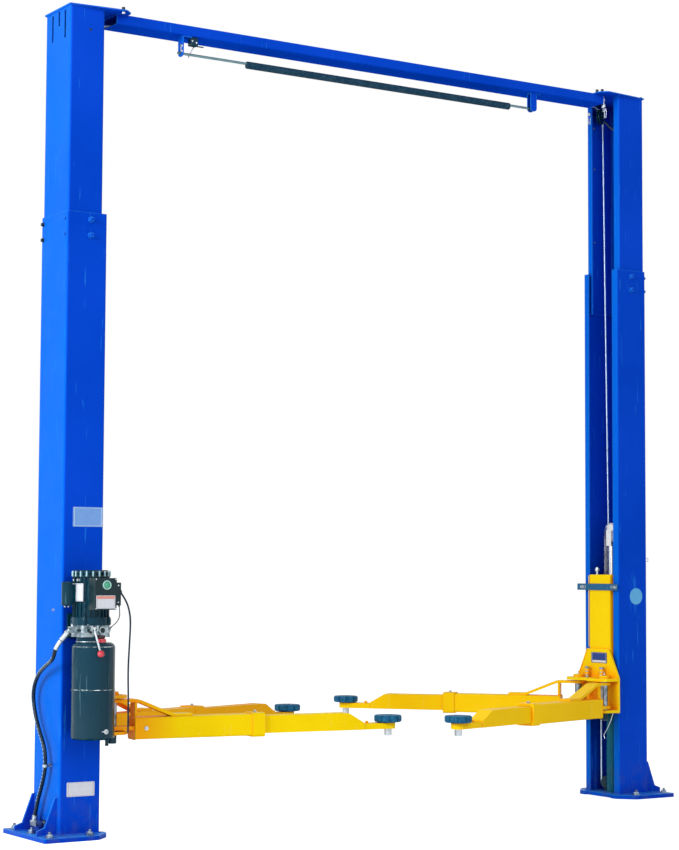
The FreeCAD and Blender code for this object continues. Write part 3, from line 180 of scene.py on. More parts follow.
# %% [markdown]
# The photograph was cut out on white, so the floor is a pale plane that shows as white to
# the camera and still takes the lift's soft shadow. The world is a white dome that the
# camera and the metal see at full strength, while it lights the paint at a lower level.

# %% Floor and world
def new_material(name):
    """Empty node material with its output, ready for a shader."""
    material = bpy.data.materials.new(name)
    material.use_nodes = True
    material.node_tree.nodes.clear()
    output = material.node_tree.nodes.new("ShaderNodeOutputMaterial")
    return material, material.node_tree, output


def seen_directly(tree):
    """1 for rays from the camera, from a mirror finish or through glass, 0 for light on paint."""
    paths = tree.nodes.new("ShaderNodeLightPath")
    total = paths.outputs["Is Camera Ray"]
    for ray in ("Is Glossy Ray", "Is Transmission Ray"):
        larger = tree.nodes.new("ShaderNodeMath")
        larger.operation = "MAXIMUM"
        tree.links.new(total, larger.inputs[0])
        tree.links.new(paths.outputs[ray], larger.inputs[1])
        total = larger.outputs[0]
    return total


def level_for(tree, low, high):
    """A strength that is low for light on paint and high where the background is seen."""
    level = tree.nodes.new("ShaderNodeMapRange")
    level.inputs["To Min"].default_value = low
    level.inputs["To Max"].default_value = high
    tree.links.new(seen_directly(tree), level.inputs["Value"])
    return level.outputs[0]


floor_material, tree, output = new_material("pale_floor")
floor_shader = tree.nodes.new("ShaderNodeBsdfPrincipled")
floor_shader.inputs["Base Color"].default_value = (0.86, 0.87, 0.88, 1)
floor_shader.inputs["Roughness"].default_value = 0.9
floor_shader.inputs["Specular IOR Level"].default_value = 0.0
glow = tree.nodes.new("ShaderNodeEmission")
tree.links.new(level_for(tree, 0.0, 0.64), glow.inputs["Strength"])
both = tree.nodes.new("ShaderNodeAddShader")
tree.links.new(floor_shader.outputs[0], both.inputs[0])
tree.links.new(glow.outputs[0], both.inputs[1])
tree.links.new(both.outputs[0], output.inputs["Surface"])

FLOOR_HALF = 30.0
corners = FLOOR_HALF * np.array([(-1, -1, 0), (1, -1, 0), (1, 1, 0), (-1, 1, 0)])
floor_mesh = bpy.data.meshes.new("floor")
floor_mesh.from_pydata(corners.tolist(), [], [(0, 1, 2, 3)])
floor_mesh.materials.append(floor_material)
floor = bpy.data.objects.new("floor", floor_mesh)
bpy.context.scene.collection.objects.link(floor)

world = bpy.data.worlds.new("studio")
bpy.context.scene.world = world
world.use_nodes = True
tree = world.node_tree
background = tree.nodes["Background"]
background.inputs["Color"].default_value = (1, 1, 1, 1)
tree.links.new(level_for(tree, 0.50, 1.0), background.inputs["Strength"])
print("floor and world ready")

# %% [markdown]
# Two big soft lamps do the modelling: one on the left that brightens the outer face of the left
# column, and one high in front of the lift that fills its front at a lower level.

# %% Lamps
def soft_lamp(name, place, target, size, power):
    """Square area lamp at a place, turned to face a target."""
    data = bpy.data.lights.new(name, "AREA")
    data.shape = "SQUARE"
    data.size = size
    data.energy = power
    lamp = bpy.data.objects.new(name, data)
    aim = Vector(target) - Vector(place)
    turn = aim.to_track_quat("-Z", "Y").to_matrix().to_4x4()
    lamp.matrix_world = Matrix.Translation(Vector(place)) @ turn
    bpy.context.scene.collection.objects.link(lamp)
    return lamp


soft_lamp("left_lamp", (-9.0, -2.0, 4.5), (0, 0, 1.8), 4.0, 640)
soft_lamp("front_lamp", (-2.0, -9.0, 6.0), (0, 0, 1.5), 4.0, 230)
print("lamps ready")

# %% [markdown]
# The finishes come next. Every real surface here is a coat over metal, bare metal, or rubber,
# and each is built from the same few ideas: a tone that drifts over the piece, a fine grain
# that tilts the light, wear where corners rub, and dust where a surface faces up. A small
# helper adds one shader step at a time, so that each finish reads as a short recipe.

# %% Helpers for finishes
def shader_step(tree, kind, **inputs):
    """Adds one shader node. An input is filled by its name with _ for a space, or by _ and its
    number: a number or colour is set on the socket and another step's output is linked. A name
    that the node itself has, such as operation, sets the node."""
    made = tree.nodes.new("ShaderNode" + kind)
    for name, value in inputs.items():
        label = name.replace("_", " ")
        if isinstance(getattr(made, name, None), str) and isinstance(value, str):
            setattr(made, name, value)
            continue
        socket = made.inputs[int(name[1:])] if name[1:].isdigit() else made.inputs[label]
        if isinstance(value, bpy.types.NodeSocket):
            tree.links.new(value, socket)
        else:
            socket.default_value = value
    return made.outputs[0]


def surface_from(tree, output, **inputs):
    """The principled shader with these inputs becomes the material's surface."""
    tree.links.new(shader_step(tree, "BsdfPrincipled", **inputs), output.inputs["Surface"])


def piece_coords(tree):
    """Coordinates in metres that stay with the piece when it moves."""
    return tree.nodes.new("ShaderNodeTexCoord").outputs["Object"]


def part_of(tree, vector, axis):
    """The X, Y or Z part of a vector."""
    parts = tree.nodes.new("ShaderNodeSeparateXYZ")
    tree.links.new(vector, parts.inputs[0])
    return parts.outputs[axis]


def facing(tree, axis):
    """How the surface faces along an axis: 1 along it, 0 square to it, -1 against it."""
    return part_of(tree, tree.nodes.new("ShaderNodeNewGeometry").outputs["Normal"], axis)


def drift(tree, coords, size, low, high, detail=3.0):
    """Noise with patches of about size metres, stretched so that it runs from low to high."""
    noise = shader_step(tree, "TexNoise", Vector=coords, Scale=1.0 / size, Detail=detail)
    return shader_step(tree, "MapRange", Value=noise, From_Min=0.32, From_Max=0.68, To_Min=low,
                       To_Max=high)


def stretched(tree, coords, scale):
    """Coordinates multiplied along each axis, which draws a pattern out into streaks."""
    return shader_step(tree, "Mapping", Vector=coords, Scale=scale)


def blended(tree, share, first, second):
    """A colour that goes from first to second as share goes from 0 to 1."""
    mixed = tree.nodes.new("ShaderNodeMix")
    mixed.data_type = "RGBA"
    for socket, value in ((mixed.inputs[0], share), (mixed.inputs[6], first),
                          (mixed.inputs[7], second)):
        if isinstance(value, bpy.types.NodeSocket):
            tree.links.new(value, socket)
        else:
            socket.default_value = value if isinstance(value, (int, float)) else (*value, 1.0)
    return mixed.outputs[2]


def product(tree, first, second, operation="MULTIPLY"):
    """Two numbers multiplied, or joined by another operation."""
    return shader_step(tree, "Math", operation=operation, _0=first, _1=second)


def corner_wear_and_sheen(tree, radius, patches):
    """1 on sharp corners, broken up by patches: how far a rounded normal leaves the true one. It
    marks corners that rub, and on the blue paint also the painted highlight on folded corners."""
    rounded = shader_step(tree, "Bevel", Radius=radius)
    true_normal = tree.nodes.new("ShaderNodeNewGeometry").outputs["Normal"]
    agreement = tree.nodes.new("ShaderNodeVectorMath")
    agreement.operation = "DOT_PRODUCT"
    tree.links.new(rounded, agreement.inputs[0])
    tree.links.new(true_normal, agreement.inputs[1])
    corner = shader_step(tree, "MapRange", Value=agreement.outputs["Value"], From_Min=0.97,
                         From_Max=0.80)
    return product(tree, corner, patches)


def facing_up(tree):
    """1 on surfaces that face the ceiling, 0 on walls."""
    return shader_step(tree, "MapRange", Value=facing(tree, "Z"), From_Min=0.55, From_Max=0.98)


def facing_aside(tree):
    """1 on surfaces that face along the crossbeam or upward, 0 on those that face front or
    back."""
    sideways = product(tree, facing(tree, "X"), 0.0, "ABSOLUTE")
    sideways = product(tree, sideways, facing(tree, "Z"), "MAXIMUM")
    return shader_step(tree, "MapRange", Value=sideways, From_Min=0.30, From_Max=0.95)


def sheltered(tree, reach):
    """1 in a corner or under a plate, 0 in the open: how much is hidden within reach. It is the
    mask of the painted shade in corners.
    """
    hidden = tree.nodes.new("ShaderNodeAmbientOcclusion")
    hidden.samples = 8
    hidden.inputs["Distance"].default_value = reach
    return shader_step(tree, "MapRange", Value=hidden.outputs["AO"], From_Min=0.85, From_Max=0.15)


def near_floor(tree, coords, top):
    """1 at the floor and 0 from top upwards."""
    return shader_step(tree, "MapRange", Value=part_of(tree, coords, "Z"), From_Min=top,
                       From_Max=0.0)


print("finish helpers ready")

# %% [markdown]
# Powder coat is baked on as dust, so it has a faint orange peel, rounds every corner and
# chips there first. The same recipe serves the blue columns and the yellow carriages: the
# colour drifts a little, long light scratches run over it, dust settles on what faces up,
# and scuffs gather near the floor. It can also paint light and shade into the colour: a
# darker tone in sheltered corners is painted shade, lighter tones on faces that look along
# the beam, on level faces and on folded corners are painted light, and an orange band along
# part of an arm is painted shade.

# %% Powder coat
def powder_coat(name, colour, chipped, gloss, shine, peel=0.10, painted_corner_shade=None, painted_side_light=None, top=None,
                warm=None, rim=None):
    """Paint whose tone drifts by a few percent, with scratches, chipped corners, dust and
    scuffs. The optional tones paint light and shade into the colour: a darker tone in sheltered
    corners is painted shade; a lighter tone on faces that look along the beam and upward, top,
    a lighter tone on level faces, and rim, a lighter tone on the folded corners, are painted
    light; and an orange tone, given with the two distances along the beam between which it
    fades out, is painted shade."""
    material, tree, output = new_material(name)
    coords = piece_coords(tree)
    tone = drift(tree, coords, 0.55, 0.0, 1.0)
    darker = tuple(0.90 * c for c in colour)
    lighter = tuple(min(1.0, 1.07 * c + 0.002) for c in colour)
    coat = blended(tree, tone, darker, lighter)
    # Painted light: a lighter tone on faces that look along the beam and upward.
    if painted_side_light:
        coat = blended(tree, product(tree, facing_aside(tree), drift(tree, coords, 0.7, 0.7, 1.0)),
                       coat, painted_side_light)
    # Painted highlight: a lighter tone on level faces.
    if top:
        coat = blended(tree, product(tree, facing_up(tree), 0.6), coat, top)
    # Painted shade: an orange band that fades out along the beam.
    if warm:
        warm_tone, whole, none = warm
        share = shader_step(tree, "MapRange", Value=part_of(tree, coords, "X"), From_Min=none,
                            From_Max=whole)
        coat = blended(tree, share, coat, warm_tone)
    # Painted shade: a darker tone in sheltered corners.
    if painted_corner_shade:
        coat = blended(tree, sheltered(tree, 0.12), coat, painted_corner_shade)
    # Painted highlight: a lighter tone along the folded corners.
    if rim:
        coat = blended(tree, product(tree, corner_wear_and_sheen(tree, 0.005, 1.0), 0.45), coat, rim)
    streaks = drift(tree, stretched(tree, coords, (1.0, 1.0, 0.06)), 0.012, 0.0, 1.0, detail=6.0)
    fine = shader_step(tree, "MapRange", Value=streaks, From_Min=0.93, From_Max=1.0, To_Max=0.22)
    coat = blended(tree, fine, coat, chipped)
    patches = drift(tree, coords, 0.03, -0.6, 1.0, detail=5.0)
    coat = blended(tree, corner_wear_and_sheen(tree, 0.0025, patches), coat, chipped)
    dust = product(tree, facing_up(tree), drift(tree, coords, 0.09, 0.0, 0.16, detail=6.0))
    coat = blended(tree, dust, coat, tuple(0.5 * c + 0.14 for c in colour))
    scuffs = product(tree, near_floor(tree, coords, 0.22),
                     drift(tree, coords, 0.05, -0.25, 0.55, detail=7.0))
    coat = blended(tree, scuffs, coat, tuple(0.5 * c + 0.05 for c in colour))
    roughness = drift(tree, coords, 0.16, gloss - 0.07, gloss + 0.10, detail=6.0)
    peel_noise = shader_step(tree, "TexNoise", Vector=coords, Scale=420.0, Detail=2.0)
    bump = shader_step(tree, "Bump", Strength=peel, Distance=0.0012, Height=peel_noise)
    gleam = shader_step(tree, "MapRange", Value=facing(tree, "Z"), From_Min=-0.6, From_Max=-0.1,
                        To_Max=shine)
    surface_from(tree, output, Base_Color=coat, Roughness=roughness, Normal=bump,
                 Specular_IOR_Level=gleam)
    return material


# Painted light and shade in the blue: the darker corner tone is painted shade, and the lighter
# tones on faces along the beam and upward, on level faces and on folded corners are painted light.
BLUE_PAINT = powder_coat("blue_powder_coat", (0.0, 0.058, 0.60), (0.03, 0.36, 0.92), 0.34, 0.025,
                         painted_corner_shade=(0.0, 0.028, 0.40), painted_side_light=(0.0, 0.132, 0.68), top=(0.04, 0.32, 0.82),
                         rim=(0.05, 0.42, 0.95))


def yellow_coat(name, colour, painted_corner_shade, chipped=(0.95, 0.72, 0.20), **more):
    """One copy of the one yellow paint. The copies differ in tone only, and the more orange copies
    are that yellow with painted shade.
    """
    return powder_coat(name, colour, chipped, 0.42, 0.05, painted_corner_shade=painted_corner_shade, **more)


# The right carriage's yellow. The copies below are this yellow with painted shade: a little more
# orange on the arms, an orange band near the left front arm's pivot, and deeper orange on the left
# rear arm and the left carriage.
YELLOW_PAINT = yellow_coat("yellow_powder_coat", (1.0, 0.69, 0.0), (0.98, 0.27, 0.004))
ARM_PAINT = yellow_coat("arm_powder_coat", (1.0, 0.60, 0.001), (0.98, 0.27, 0.004))
LEFT_FRONT_PAINT = yellow_coat("left_front_powder_coat", (1.0, 0.68, 0.0), (0.98, 0.30, 0.004),
                               warm=((1.0, 0.40, 0.006), -1.37, -1.16))
LEFT_REAR_PAINT = yellow_coat("left_rear_powder_coat", (1.0, 0.47, 0.008), (0.98, 0.25, 0.010),
                              (0.95, 0.66, 0.20))
SHADED_YELLOW_PAINT = yellow_coat("shaded_yellow_coat", (1.0, 0.43, 0.006), (0.95, 0.17, 0.010),
                           (0.95, 0.62, 0.20))
DARK_PAINT = powder_coat("dark_gloss_paint", (0.0, 0.034, 0.060), (0.13, 0.26, 0.31), 0.14, 0.17,
                         0.05)
CYLINDER_PAINT = powder_coat("cylinder_paint", (0.0, 0.100, 0.165), (0.13, 0.30, 0.38), 0.24, 0.10,
                             0.05)
STRAP_PAINT = powder_coat("strap_coat", (0.006, 0.110, 0.250), (0.20, 0.50, 0.68), 0.28, 0.20, 0.05)
print("paints:", BLUE_PAINT.name, YELLOW_PAINT.name, DARK_PAINT.name)

# %% [markdown]
# Bare metal shows how it was made. Pins and screws are turned, so they carry fine rings;
# castings are grainy and dull in their hollows; ropes and chain are oiled, so dirt stays in
# their low places. One recipe with a grain direction and a coarseness covers all of them.

# %% Bare metal
def bare_metal(name, colour, stain, rough, grain, grain_size, dent, stain_share=0.5):
    """Metal whose reflections are broken by a grain drawn out along an axis, with stained
    patches."""
    material, tree, output = new_material(name)
    coords = piece_coords(tree)
    lines = drift(tree, stretched(tree, coords, grain), grain_size, 0.0, 1.0, detail=5.0)
    patches = drift(tree, coords, 0.035, -0.45, stain_share, detail=6.0)
    tint = blended(tree, lines, tuple(0.82 * c for c in colour), colour)
    tint = blended(tree, patches, tint, stain)
    rubbed = corner_wear_and_sheen(tree, 0.0012, 1.0)
    tint = blended(tree, rubbed, tint, tuple(min(1.0, 1.15 * c) for c in colour))
    roughness = shader_step(tree, "MapRange", Value=lines, To_Min=rough, To_Max=rough + 0.18)
    bump = shader_step(tree, "Bump", Strength=dent, Distance=0.0008, Height=lines)
    surface_from(tree, output, Base_Color=tint, Roughness=roughness, Normal=bump, Metallic=1.0)
    return material


BRIGHT_STEEL = bare_metal("turned_steel", (0.55, 0.60, 0.65), (0.16, 0.18, 0.20), 0.24, (1, 1, 9),
                          0.006, 0.14)
CHROME = bare_metal("chromed_rod", (0.80, 0.82, 0.84), (0.55, 0.56, 0.57), 0.08, (1, 1, 12), 0.004,
                    0.04, 0.2)
ROPE_STEEL = bare_metal("oiled_rope", (0.60, 0.63, 0.66), (0.20, 0.19, 0.17), 0.34, (1, 1, 0.5),
                        0.004, 0.5, 0.7)
CAST_METAL = bare_metal("cast_aluminium", (0.44, 0.53, 0.57), (0.07, 0.12, 0.15), 0.32, (1, 1, 1),
                        0.0034, 0.40, 1.1)
PIN_STEEL = bare_metal("pin_steel", (0.34, 0.42, 0.50), (0.05, 0.08, 0.11), 0.26, (1, 1, 9), 0.006,
                       0.14, 0.9)
ROPE_BLUE = bare_metal("oiled_rope", (0.56, 0.70, 0.86), (0.20, 0.30, 0.42), 0.34, (1, 1, 4), 0.004,
                       0.20)
GREY_STEEL = powder_coat("grey_satin_paint", (0.22, 0.33, 0.42), (0.55, 0.60, 0.63), 0.45, 0.35)
print("metals:", BRIGHT_STEEL.name, CHROME.name, ROPE_STEEL.name, CAST_METAL.name, GREY_STEEL.name)

# %% [markdown]
# Rubber and moulded plastic have no metal sheen. Rubber is dull with a fine pebble and grey
# bloom in patches; plastic is smoother, with a spark-eroded texture from its mould.

# %% Rubber and plastic
def moulded(name, colour, bloom, rough, pebble, pebble_depth, bloom_share, shine=0.35):
    """Rubber or plastic: a pebbled grain, with a paler bloom in patches and on corners."""
    material, tree, output = new_material(name)
    coords = piece_coords(tree)
    patches = drift(tree, coords, 0.02, -0.5 * bloom_share, bloom_share, detail=6.0)
    tint = blended(tree, patches, colour, bloom)
    tint = blended(tree, product(tree, corner_wear_and_sheen(tree, 0.0015, 1.0), 0.55), tint, bloom)
    dust = product(tree, facing_up(tree), drift(tree, coords, 0.05, 0.02, 0.22, detail=6.0))
    tint = blended(tree, dust, tint, (0.14, 0.22, 0.28))
    roughness = drift(tree, coords, 0.03, rough - 0.08, rough + 0.10, detail=5.0)
    grain = shader_step(tree, "TexVoronoi", Vector=coords, Scale=1.0 / pebble)
    bump = shader_step(tree, "Bump", Strength=pebble_depth, Distance=0.0006, Height=grain)
    surface_from(tree, output, Base_Color=tint, Roughness=roughness, Normal=bump,
                 Specular_IOR_Level=shine)
    return material


PAD_RUBBER = moulded("pad_rubber", (0.001, 0.078, 0.185), (0.02, 0.22, 0.38), 0.58, 0.0028, 0.30,
                     0.45, 0.2)
HOSE_RUBBER = moulded("hose_rubber", (0.001, 0.012, 0.030), (0.03, 0.11, 0.20), 0.26, 0.0016, 0.20,
                      0.10, 0.22)
FOAM = moulded("foam_sleeve", (0.004, 0.036, 0.072), (0.05, 0.12, 0.19), 0.66, 0.0035, 0.45, 0.30,
               0.15)
BLACK_PLASTIC = moulded("black_plastic", (0.002, 0.020, 0.027), (0.06, 0.09, 0.10), 0.30, 0.0012,
                        0.15, 0.10, 0.25)
SLIDE_PLASTIC = moulded("slide_plastic", (0.03, 0.035, 0.04), (0.14, 0.14, 0.14), 0.40, 0.0012,
                        0.12, 0.35)
RED_PLASTIC = moulded("red_plastic", (0.56, 0.022, 0.045), (0.80, 0.30, 0.32), 0.16, 0.004, 0.05,
                      0.15, 0.5)
# A darkened copy of the red plastic: painted shade.
RED_IN_SHADE = moulded("red_plastic_in_shade", (0.020, 0.003, 0.008), (0.20, 0.03, 0.05), 0.28, 0.004, 0.05,
                   0.15, 0.4)
RING_PLASTIC = moulded("pale_green_plastic", (0.26, 0.50, 0.44), (0.55, 0.75, 0.70), 0.22, 0.004,
                       0.05, 0.15, 0.5)
GREEN_PLASTIC = moulded("green_plastic", (0.03, 0.36, 0.20), (0.25, 0.55, 0.42), 0.24, 0.004, 0.05,
                        0.15, 0.5)
print("rubber and plastic:", PAD_RUBBER.name, HOSE_RUBBER.name, FOAM.name, BLACK_PLASTIC.name)

# %% [markdown]
# The imported pieces keep their shapes and only take a finish. Each slot of the imported model
# has one finish, and a few pieces that share a slot differ: the foam sleeve on the shut-off
# bar is not painted like the motor. The head pulleys take the dark paint as painted shade, and
# the left carriage, its yoke and the arms take the more orange copies of the yellow, painted
# shade.

# %% Finishes on the imported pieces
FINISH_OF_SLOT = {"blue_paint": BLUE_PAINT, "yellow_paint": YELLOW_PAINT, "dark_paint": DARK_PAINT,
                  "bright_steel": BRIGHT_STEEL, "chrome_rod": CHROME, "steel_rope": ROPE_STEEL,
                  "cast_aluminium": CAST_METAL, "grey_steel": GREY_STEEL, "pad_rubber": PAD_RUBBER,
                  "black_rubber": HOSE_RUBBER, "black_plastic": BLACK_PLASTIC,
                  "red_plastic": RED_PLASTIC, "green_plastic": GREEN_PLASTIC}


def coat_with(piece, material):
    """The piece's only material becomes this one."""
    piece.data.materials.clear()
    piece.data.materials.append(material)


for part in frame["record"]["subparts"]:
    coat_with(nodes[part["node"]], FINISH_OF_SLOT[part["material_slot"]])
# Painted shade: the head pulleys in the dark paint, and the more orange copies of the yellow on the
# left carriage, its yoke and the arms.
FINISH_OF_ENDING = {"slider_blocks": SLIDE_PLASTIC, "outer_arm": ARM_PAINT,
                    "arm_extension": ARM_PAINT, "cylinder": CYLINDER_PAINT, "arm_pins": PIN_STEEL,
                    "carriage_strap": STRAP_PAINT, "rope_pulleys": DARK_PAINT,
                    "left_carriage": SHADED_YELLOW_PAINT, "left_arm_yoke": SHADED_YELLOW_PAINT,
                    "shut_off_bar": FOAM, "left_front_outer_arm": LEFT_FRONT_PAINT,
                    "left_front_arm_extension": LEFT_FRONT_PAINT,
                    "left_rear_outer_arm": LEFT_REAR_PAINT,
                    "left_rear_arm_extension": LEFT_REAR_PAINT}
for name in nodes:
    for ending, material in FINISH_OF_ENDING.items():
        if name.endswith(ending):
            coat_with(nodes[name], material)
for cord in (hose, lead, wire):
    coat_with(cord, HOSE_RUBBER)
print(len(nodes), "packed pieces have a finish")

# %% [markdown]
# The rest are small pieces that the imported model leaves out. Each is a surface worked out
# as a grid of points: a profile turned about an axis, or a ring carried along a path. The
# grid is one array, and its quads follow from its rows and columns, so no vertex is placed
# by hand. A shape is kept as a pair of points and faces, and several shapes are joined into
# one mesh before it becomes an object.

# %% Grids, axes and joining
def grid_faces(rows, columns, wrap=True):
    """Quads between neighbouring rows of a grid of points, closed round the columns if wrap."""
    across = columns if wrap else columns - 1
    row, column = np.meshgrid(np.arange(rows - 1), np.arange(across), indexing="ij")
    following = (column + 1) % columns
    low, high = row * columns, (row + 1) * columns
    return np.stack([low + column, low + following, high + following, high + column],
                    -1).reshape(-1, 4).tolist()


def closed_rings(rings):
    """Rings of points stacked along an axis become a shape: quads between them, a flat cap at
    each end."""
    rows, columns, _ = rings.shape
    last = (rows - 1) * columns
    caps = [list(range(columns))[::-1], list(range(last, last + columns))]
    return rings.reshape(-1, 3), grid_faces(rows, columns) + caps


def square_to(axis):
    """Right-handed unit vectors: two square to the axis, then the axis."""
    axis = np.array(axis, float) / np.linalg.norm(axis)
    side = np.cross(axis, (0.0, 0.0, 1.0) if abs(axis[2]) < 0.9 else (1.0, 0.0, 0.0))
    side /= np.linalg.norm(side)
    return side, np.cross(axis, side), axis


def unit_ring(side, other, around):
    """Points evenly round a circle of radius 1: the cosine along side, the sine along other."""
    angle = np.linspace(0, 2 * np.pi, around, endpoint=False)
    return np.cos(angle)[:, None] * side + np.sin(angle)[:, None] * other


def joined(shapes):
    """Several shapes as one: their points stacked, their faces counted on from each other."""
    starts = np.cumsum([0] + [len(points) for points, _ in shapes[:-1]])
    faces = [[corner + start for corner in face] for start, (_, many) in zip(starts, shapes)
             for face in many]
    return np.vstack([points for points, _ in shapes]), faces


def add_piece(name, shapes, material, body="root", crease=35):
    """One mesh object from shapes given in metres in the frame, smooth except at creases. It
    rides on a body, of which root is the lift's fixed part."""
    points, faces = joined(shapes)
    mesh = bpy.data.meshes.new(name)
    mesh.from_pydata(points.tolist(), [], faces)
    mesh.shade_smooth()
    mesh.set_sharp_from_angle(angle=math.radians(crease))
    mesh.materials.append(material)
    piece = bpy.data.objects.new(name, mesh)
    bpy.context.scene.collection.objects.link(piece)
    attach(piece, body)
    return piece


print("quads in a 3 by 4 wrapped grid:", len(grid_faces(3, 4)))

# %% [markdown]
# Nuts, bolt heads, washers, studs, pins and plugs are all turned shapes. A hexagon is a
# turned shape too, whose radius swells towards its six corners, and the lathe's chamfer
# is a limit on that radius near each face.

# %% Turned shapes and fasteners
def turned(profile, at, axis, around=24):
    """Surface of revolution: radius r at height h along the axis, for the profile's (r, h)
    points."""
    side, other, axis = square_to(axis)
    ring = unit_ring(side, other, around)
    radius, height = np.array(profile, float).T
    return closed_rings(np.array(at) + radius[:, None, None] * ring + height[:, None, None] * axis)


def lathe(profile, place, axis, around):
    """Turned shape at a place given from the column line, its profile in millimetres."""
    return turned(0.001 * np.array(profile), at_column(*place), axis, around)


def hexagon(at, axis, across, height):
    """Hexagon of a given width across its flats: radius is half the width over the cosine of the
    angle from the nearest flat, cut off by the chamfer's circle near each face."""
    side, other, axis = square_to(axis)
    angle = np.linspace(0, 2 * np.pi, 24, endpoint=False)
    flat = across / 2 / np.cos((angle + np.pi / 6) % (np.pi / 3) - np.pi / 6)
    chamfer = 0.07 * across
    level = np.array([0, chamfer, height - chamfer, height])
    limit = across / 2 * np.array([1.03, 1.16, 1.16, 1.03])
    radius = np.minimum(flat, limit[:, None])[..., None]
    ring = unit_ring(side, other, len(angle))
    return closed_rings(np.array(at) + radius * ring + level[:, None, None] * axis)


def stepped(at, axis, distance):
    """The point a distance along the axis from at."""
    return np.array(at) + distance * np.array(axis, float) / np.linalg.norm(axis)


def washer(at, axis, radius, thickness):
    """Flat ring's outside: a short turned disc with its rims eased."""
    ease = 0.25 * thickness
    return turned([(radius - ease, 0), (radius, ease), (radius, thickness - ease),
                   (radius - ease, thickness)], at, axis)


def bolt(at, axis, across):
    """Washer, hexagon head and the flat disc that a forged head carries."""
    thin = 0.14 * across
    head = 0.60 * across
    disc = [(0.40 * across, 0), (0.36 * across, 0.04 * across)]
    return [washer(at, axis, 0.72 * across, thin),
            hexagon(stepped(at, axis, thin), axis, across, head),
            turned(disc, stepped(at, axis, thin + head), axis)]


def threaded(at, axis, radius, length, pitch):
    """Threaded bar: its radius is a saw of one tooth a pitch, so each turn shows as a ring."""
    teeth = max(2, int(length / pitch))
    height = np.repeat(np.arange(teeth) * pitch, 2) + np.tile([0, pitch / 2], teeth)
    saw = np.tile([radius, radius * 0.88], teeth)
    return turned(np.column_stack([saw, height]), at, axis, 16)


def anchor(at):
    """Floor anchor seen from above: washer, nut and the stud's threaded end."""
    return [washer(at, UP, 0.021, 0.004),
            hexagon(stepped(at, UP, 0.004), UP, 0.026, 0.012),
            threaded(stepped(at, UP, 0.016), UP, 0.007, 0.012, 0.0022)]


sample, _ = hexagon((0, 0, 0), UP, 0.024, 0.014)
print("a nut has", len(sample), "points; widest", round(float(np.ptp(sample[:, 0])), 4))

# %% [markdown]
# Wire, weld beads and ropes are rings carried along a path. The path is first divided
# evenly by its length. A weld's radius ripples as the torch pauses, and a rope's section has
# six lobes that turn as it advances.

# %% Carried shapes
def evenly(path, step):
    """The path's points respaced evenly: each coordinate is read off against length along it."""
    path = np.array(path, float)
    length = np.concatenate([[0], np.cumsum(np.linalg.norm(np.diff(path, axis=0), axis=1))])
    places = np.linspace(0, length[-1], max(3, int(length[-1] / step) + 1))
    return np.column_stack([np.interp(places, length, path[:, axis]) for axis in range(3)]), places


def carried(path, radius, around=8, lean=(0.31, 0.17, 0.93)):
    """Tube: a ring square to the path at every point. radius is one number, one for each point,
    or one for each point and each place round the ring."""
    path = np.array(path, float)
    ahead = np.gradient(path, axis=0)
    ahead /= np.linalg.norm(ahead, axis=1)[:, None]
    side = np.cross(ahead, np.array(lean))
    side /= np.linalg.norm(side, axis=1)[:, None]
    other = np.cross(ahead, side)
    ring = unit_ring(side[:, None, :], other[:, None, :], around)
    if np.ndim(radius) < 2:
        radius = np.reshape(radius, (-1, 1))
    reach = np.broadcast_to(radius, (len(path), around))
    return closed_rings(path[:, None, :] + reach[..., None] * ring)


TORCH_STEP = 0.004


def weld(path, radius=0.0035):
    """Weld bead: a thin tube whose radius swells once every torch step."""
    even, places = evenly(path, TORCH_STEP * 0.325)
    return carried(even, radius * (0.88 + 0.16 * np.cos(2 * np.pi * places / TORCH_STEP)), 6)


def seam(points, radius=0.0035):
    """Weld bead through points given from the column line."""
    return weld([at_column(*point) for point in points], radius)


def pressed_plate(outline, thickness, at, across, upward, ease=0.12):
    """Flat plate with eased edges. The outline's (u, v) points lie along across and upward, and
    the plate rises by its thickness along their cross product. The end rings are drawn in."""
    across, upward = (np.array(v, float) / np.linalg.norm(v) for v in (across, upward))
    outline = np.array(outline, float)
    middle = outline.mean(axis=0)
    edge = ease * thickness
    shrink = 1 - edge / np.abs(outline - middle).max(axis=0)
    rings = []
    for level, inset in ((0, True), (edge, False), (thickness - edge, False), (thickness, True)):
        flat = middle + (outline - middle) * shrink if inset else outline
        u, v = flat[:, :1], flat[:, 1:]
        rings.append(np.array(at) + u * across + v * upward + level * np.cross(across, upward))
    return closed_rings(np.array(rings))


def rounded_rectangle(width, height, corner, steps=5):
    """Outline of a rectangle about its middle, its corners swept as quarter circles."""
    angle = np.linspace(0, np.pi / 2, steps)
    quarter = np.column_stack([np.cos(angle), np.sin(angle)]) * corner
    outline = []
    for turn, (x, y) in enumerate(((1, 1), (-1, 1), (-1, -1), (1, -1))):
        c, s = math.cos(turn * math.pi / 2), math.sin(turn * math.pi / 2)
        arc = quarter @ np.array([[c, s], [-s, c]])
        outline.append(arc + (x * (width / 2 - corner), y * (height / 2 - corner)))
    return np.vstack(outline)


print("rounded rectangle has", len(rounded_rectangle(0.1, 0.05, 0.01)), "points")

# %% [markdown]
# A leaf chain lifts each carriage: flat steel leaves, shaped like a waist between two eyes,
# stacked on pins. The leaves of one link sit between the leaves of the next. The chain
# climbs from its anchor, bends over the sheave and comes down to the carriage. One leaf is
# worked out once, then placed on every link by a turn and a shift held in arrays.

# %% Leaf chains
LINK_PITCH = 0.015875
LEAF_THICKNESS = 0.0024
CHAIN_X, SHEAVE_Z, SHEAVE_RADIUS = 1.612, 1.415, 0.0512
CHAIN_FOOT_Z, CHAIN_END_Z = 0.478, 0.908
LEAF_GAP = 0.0026


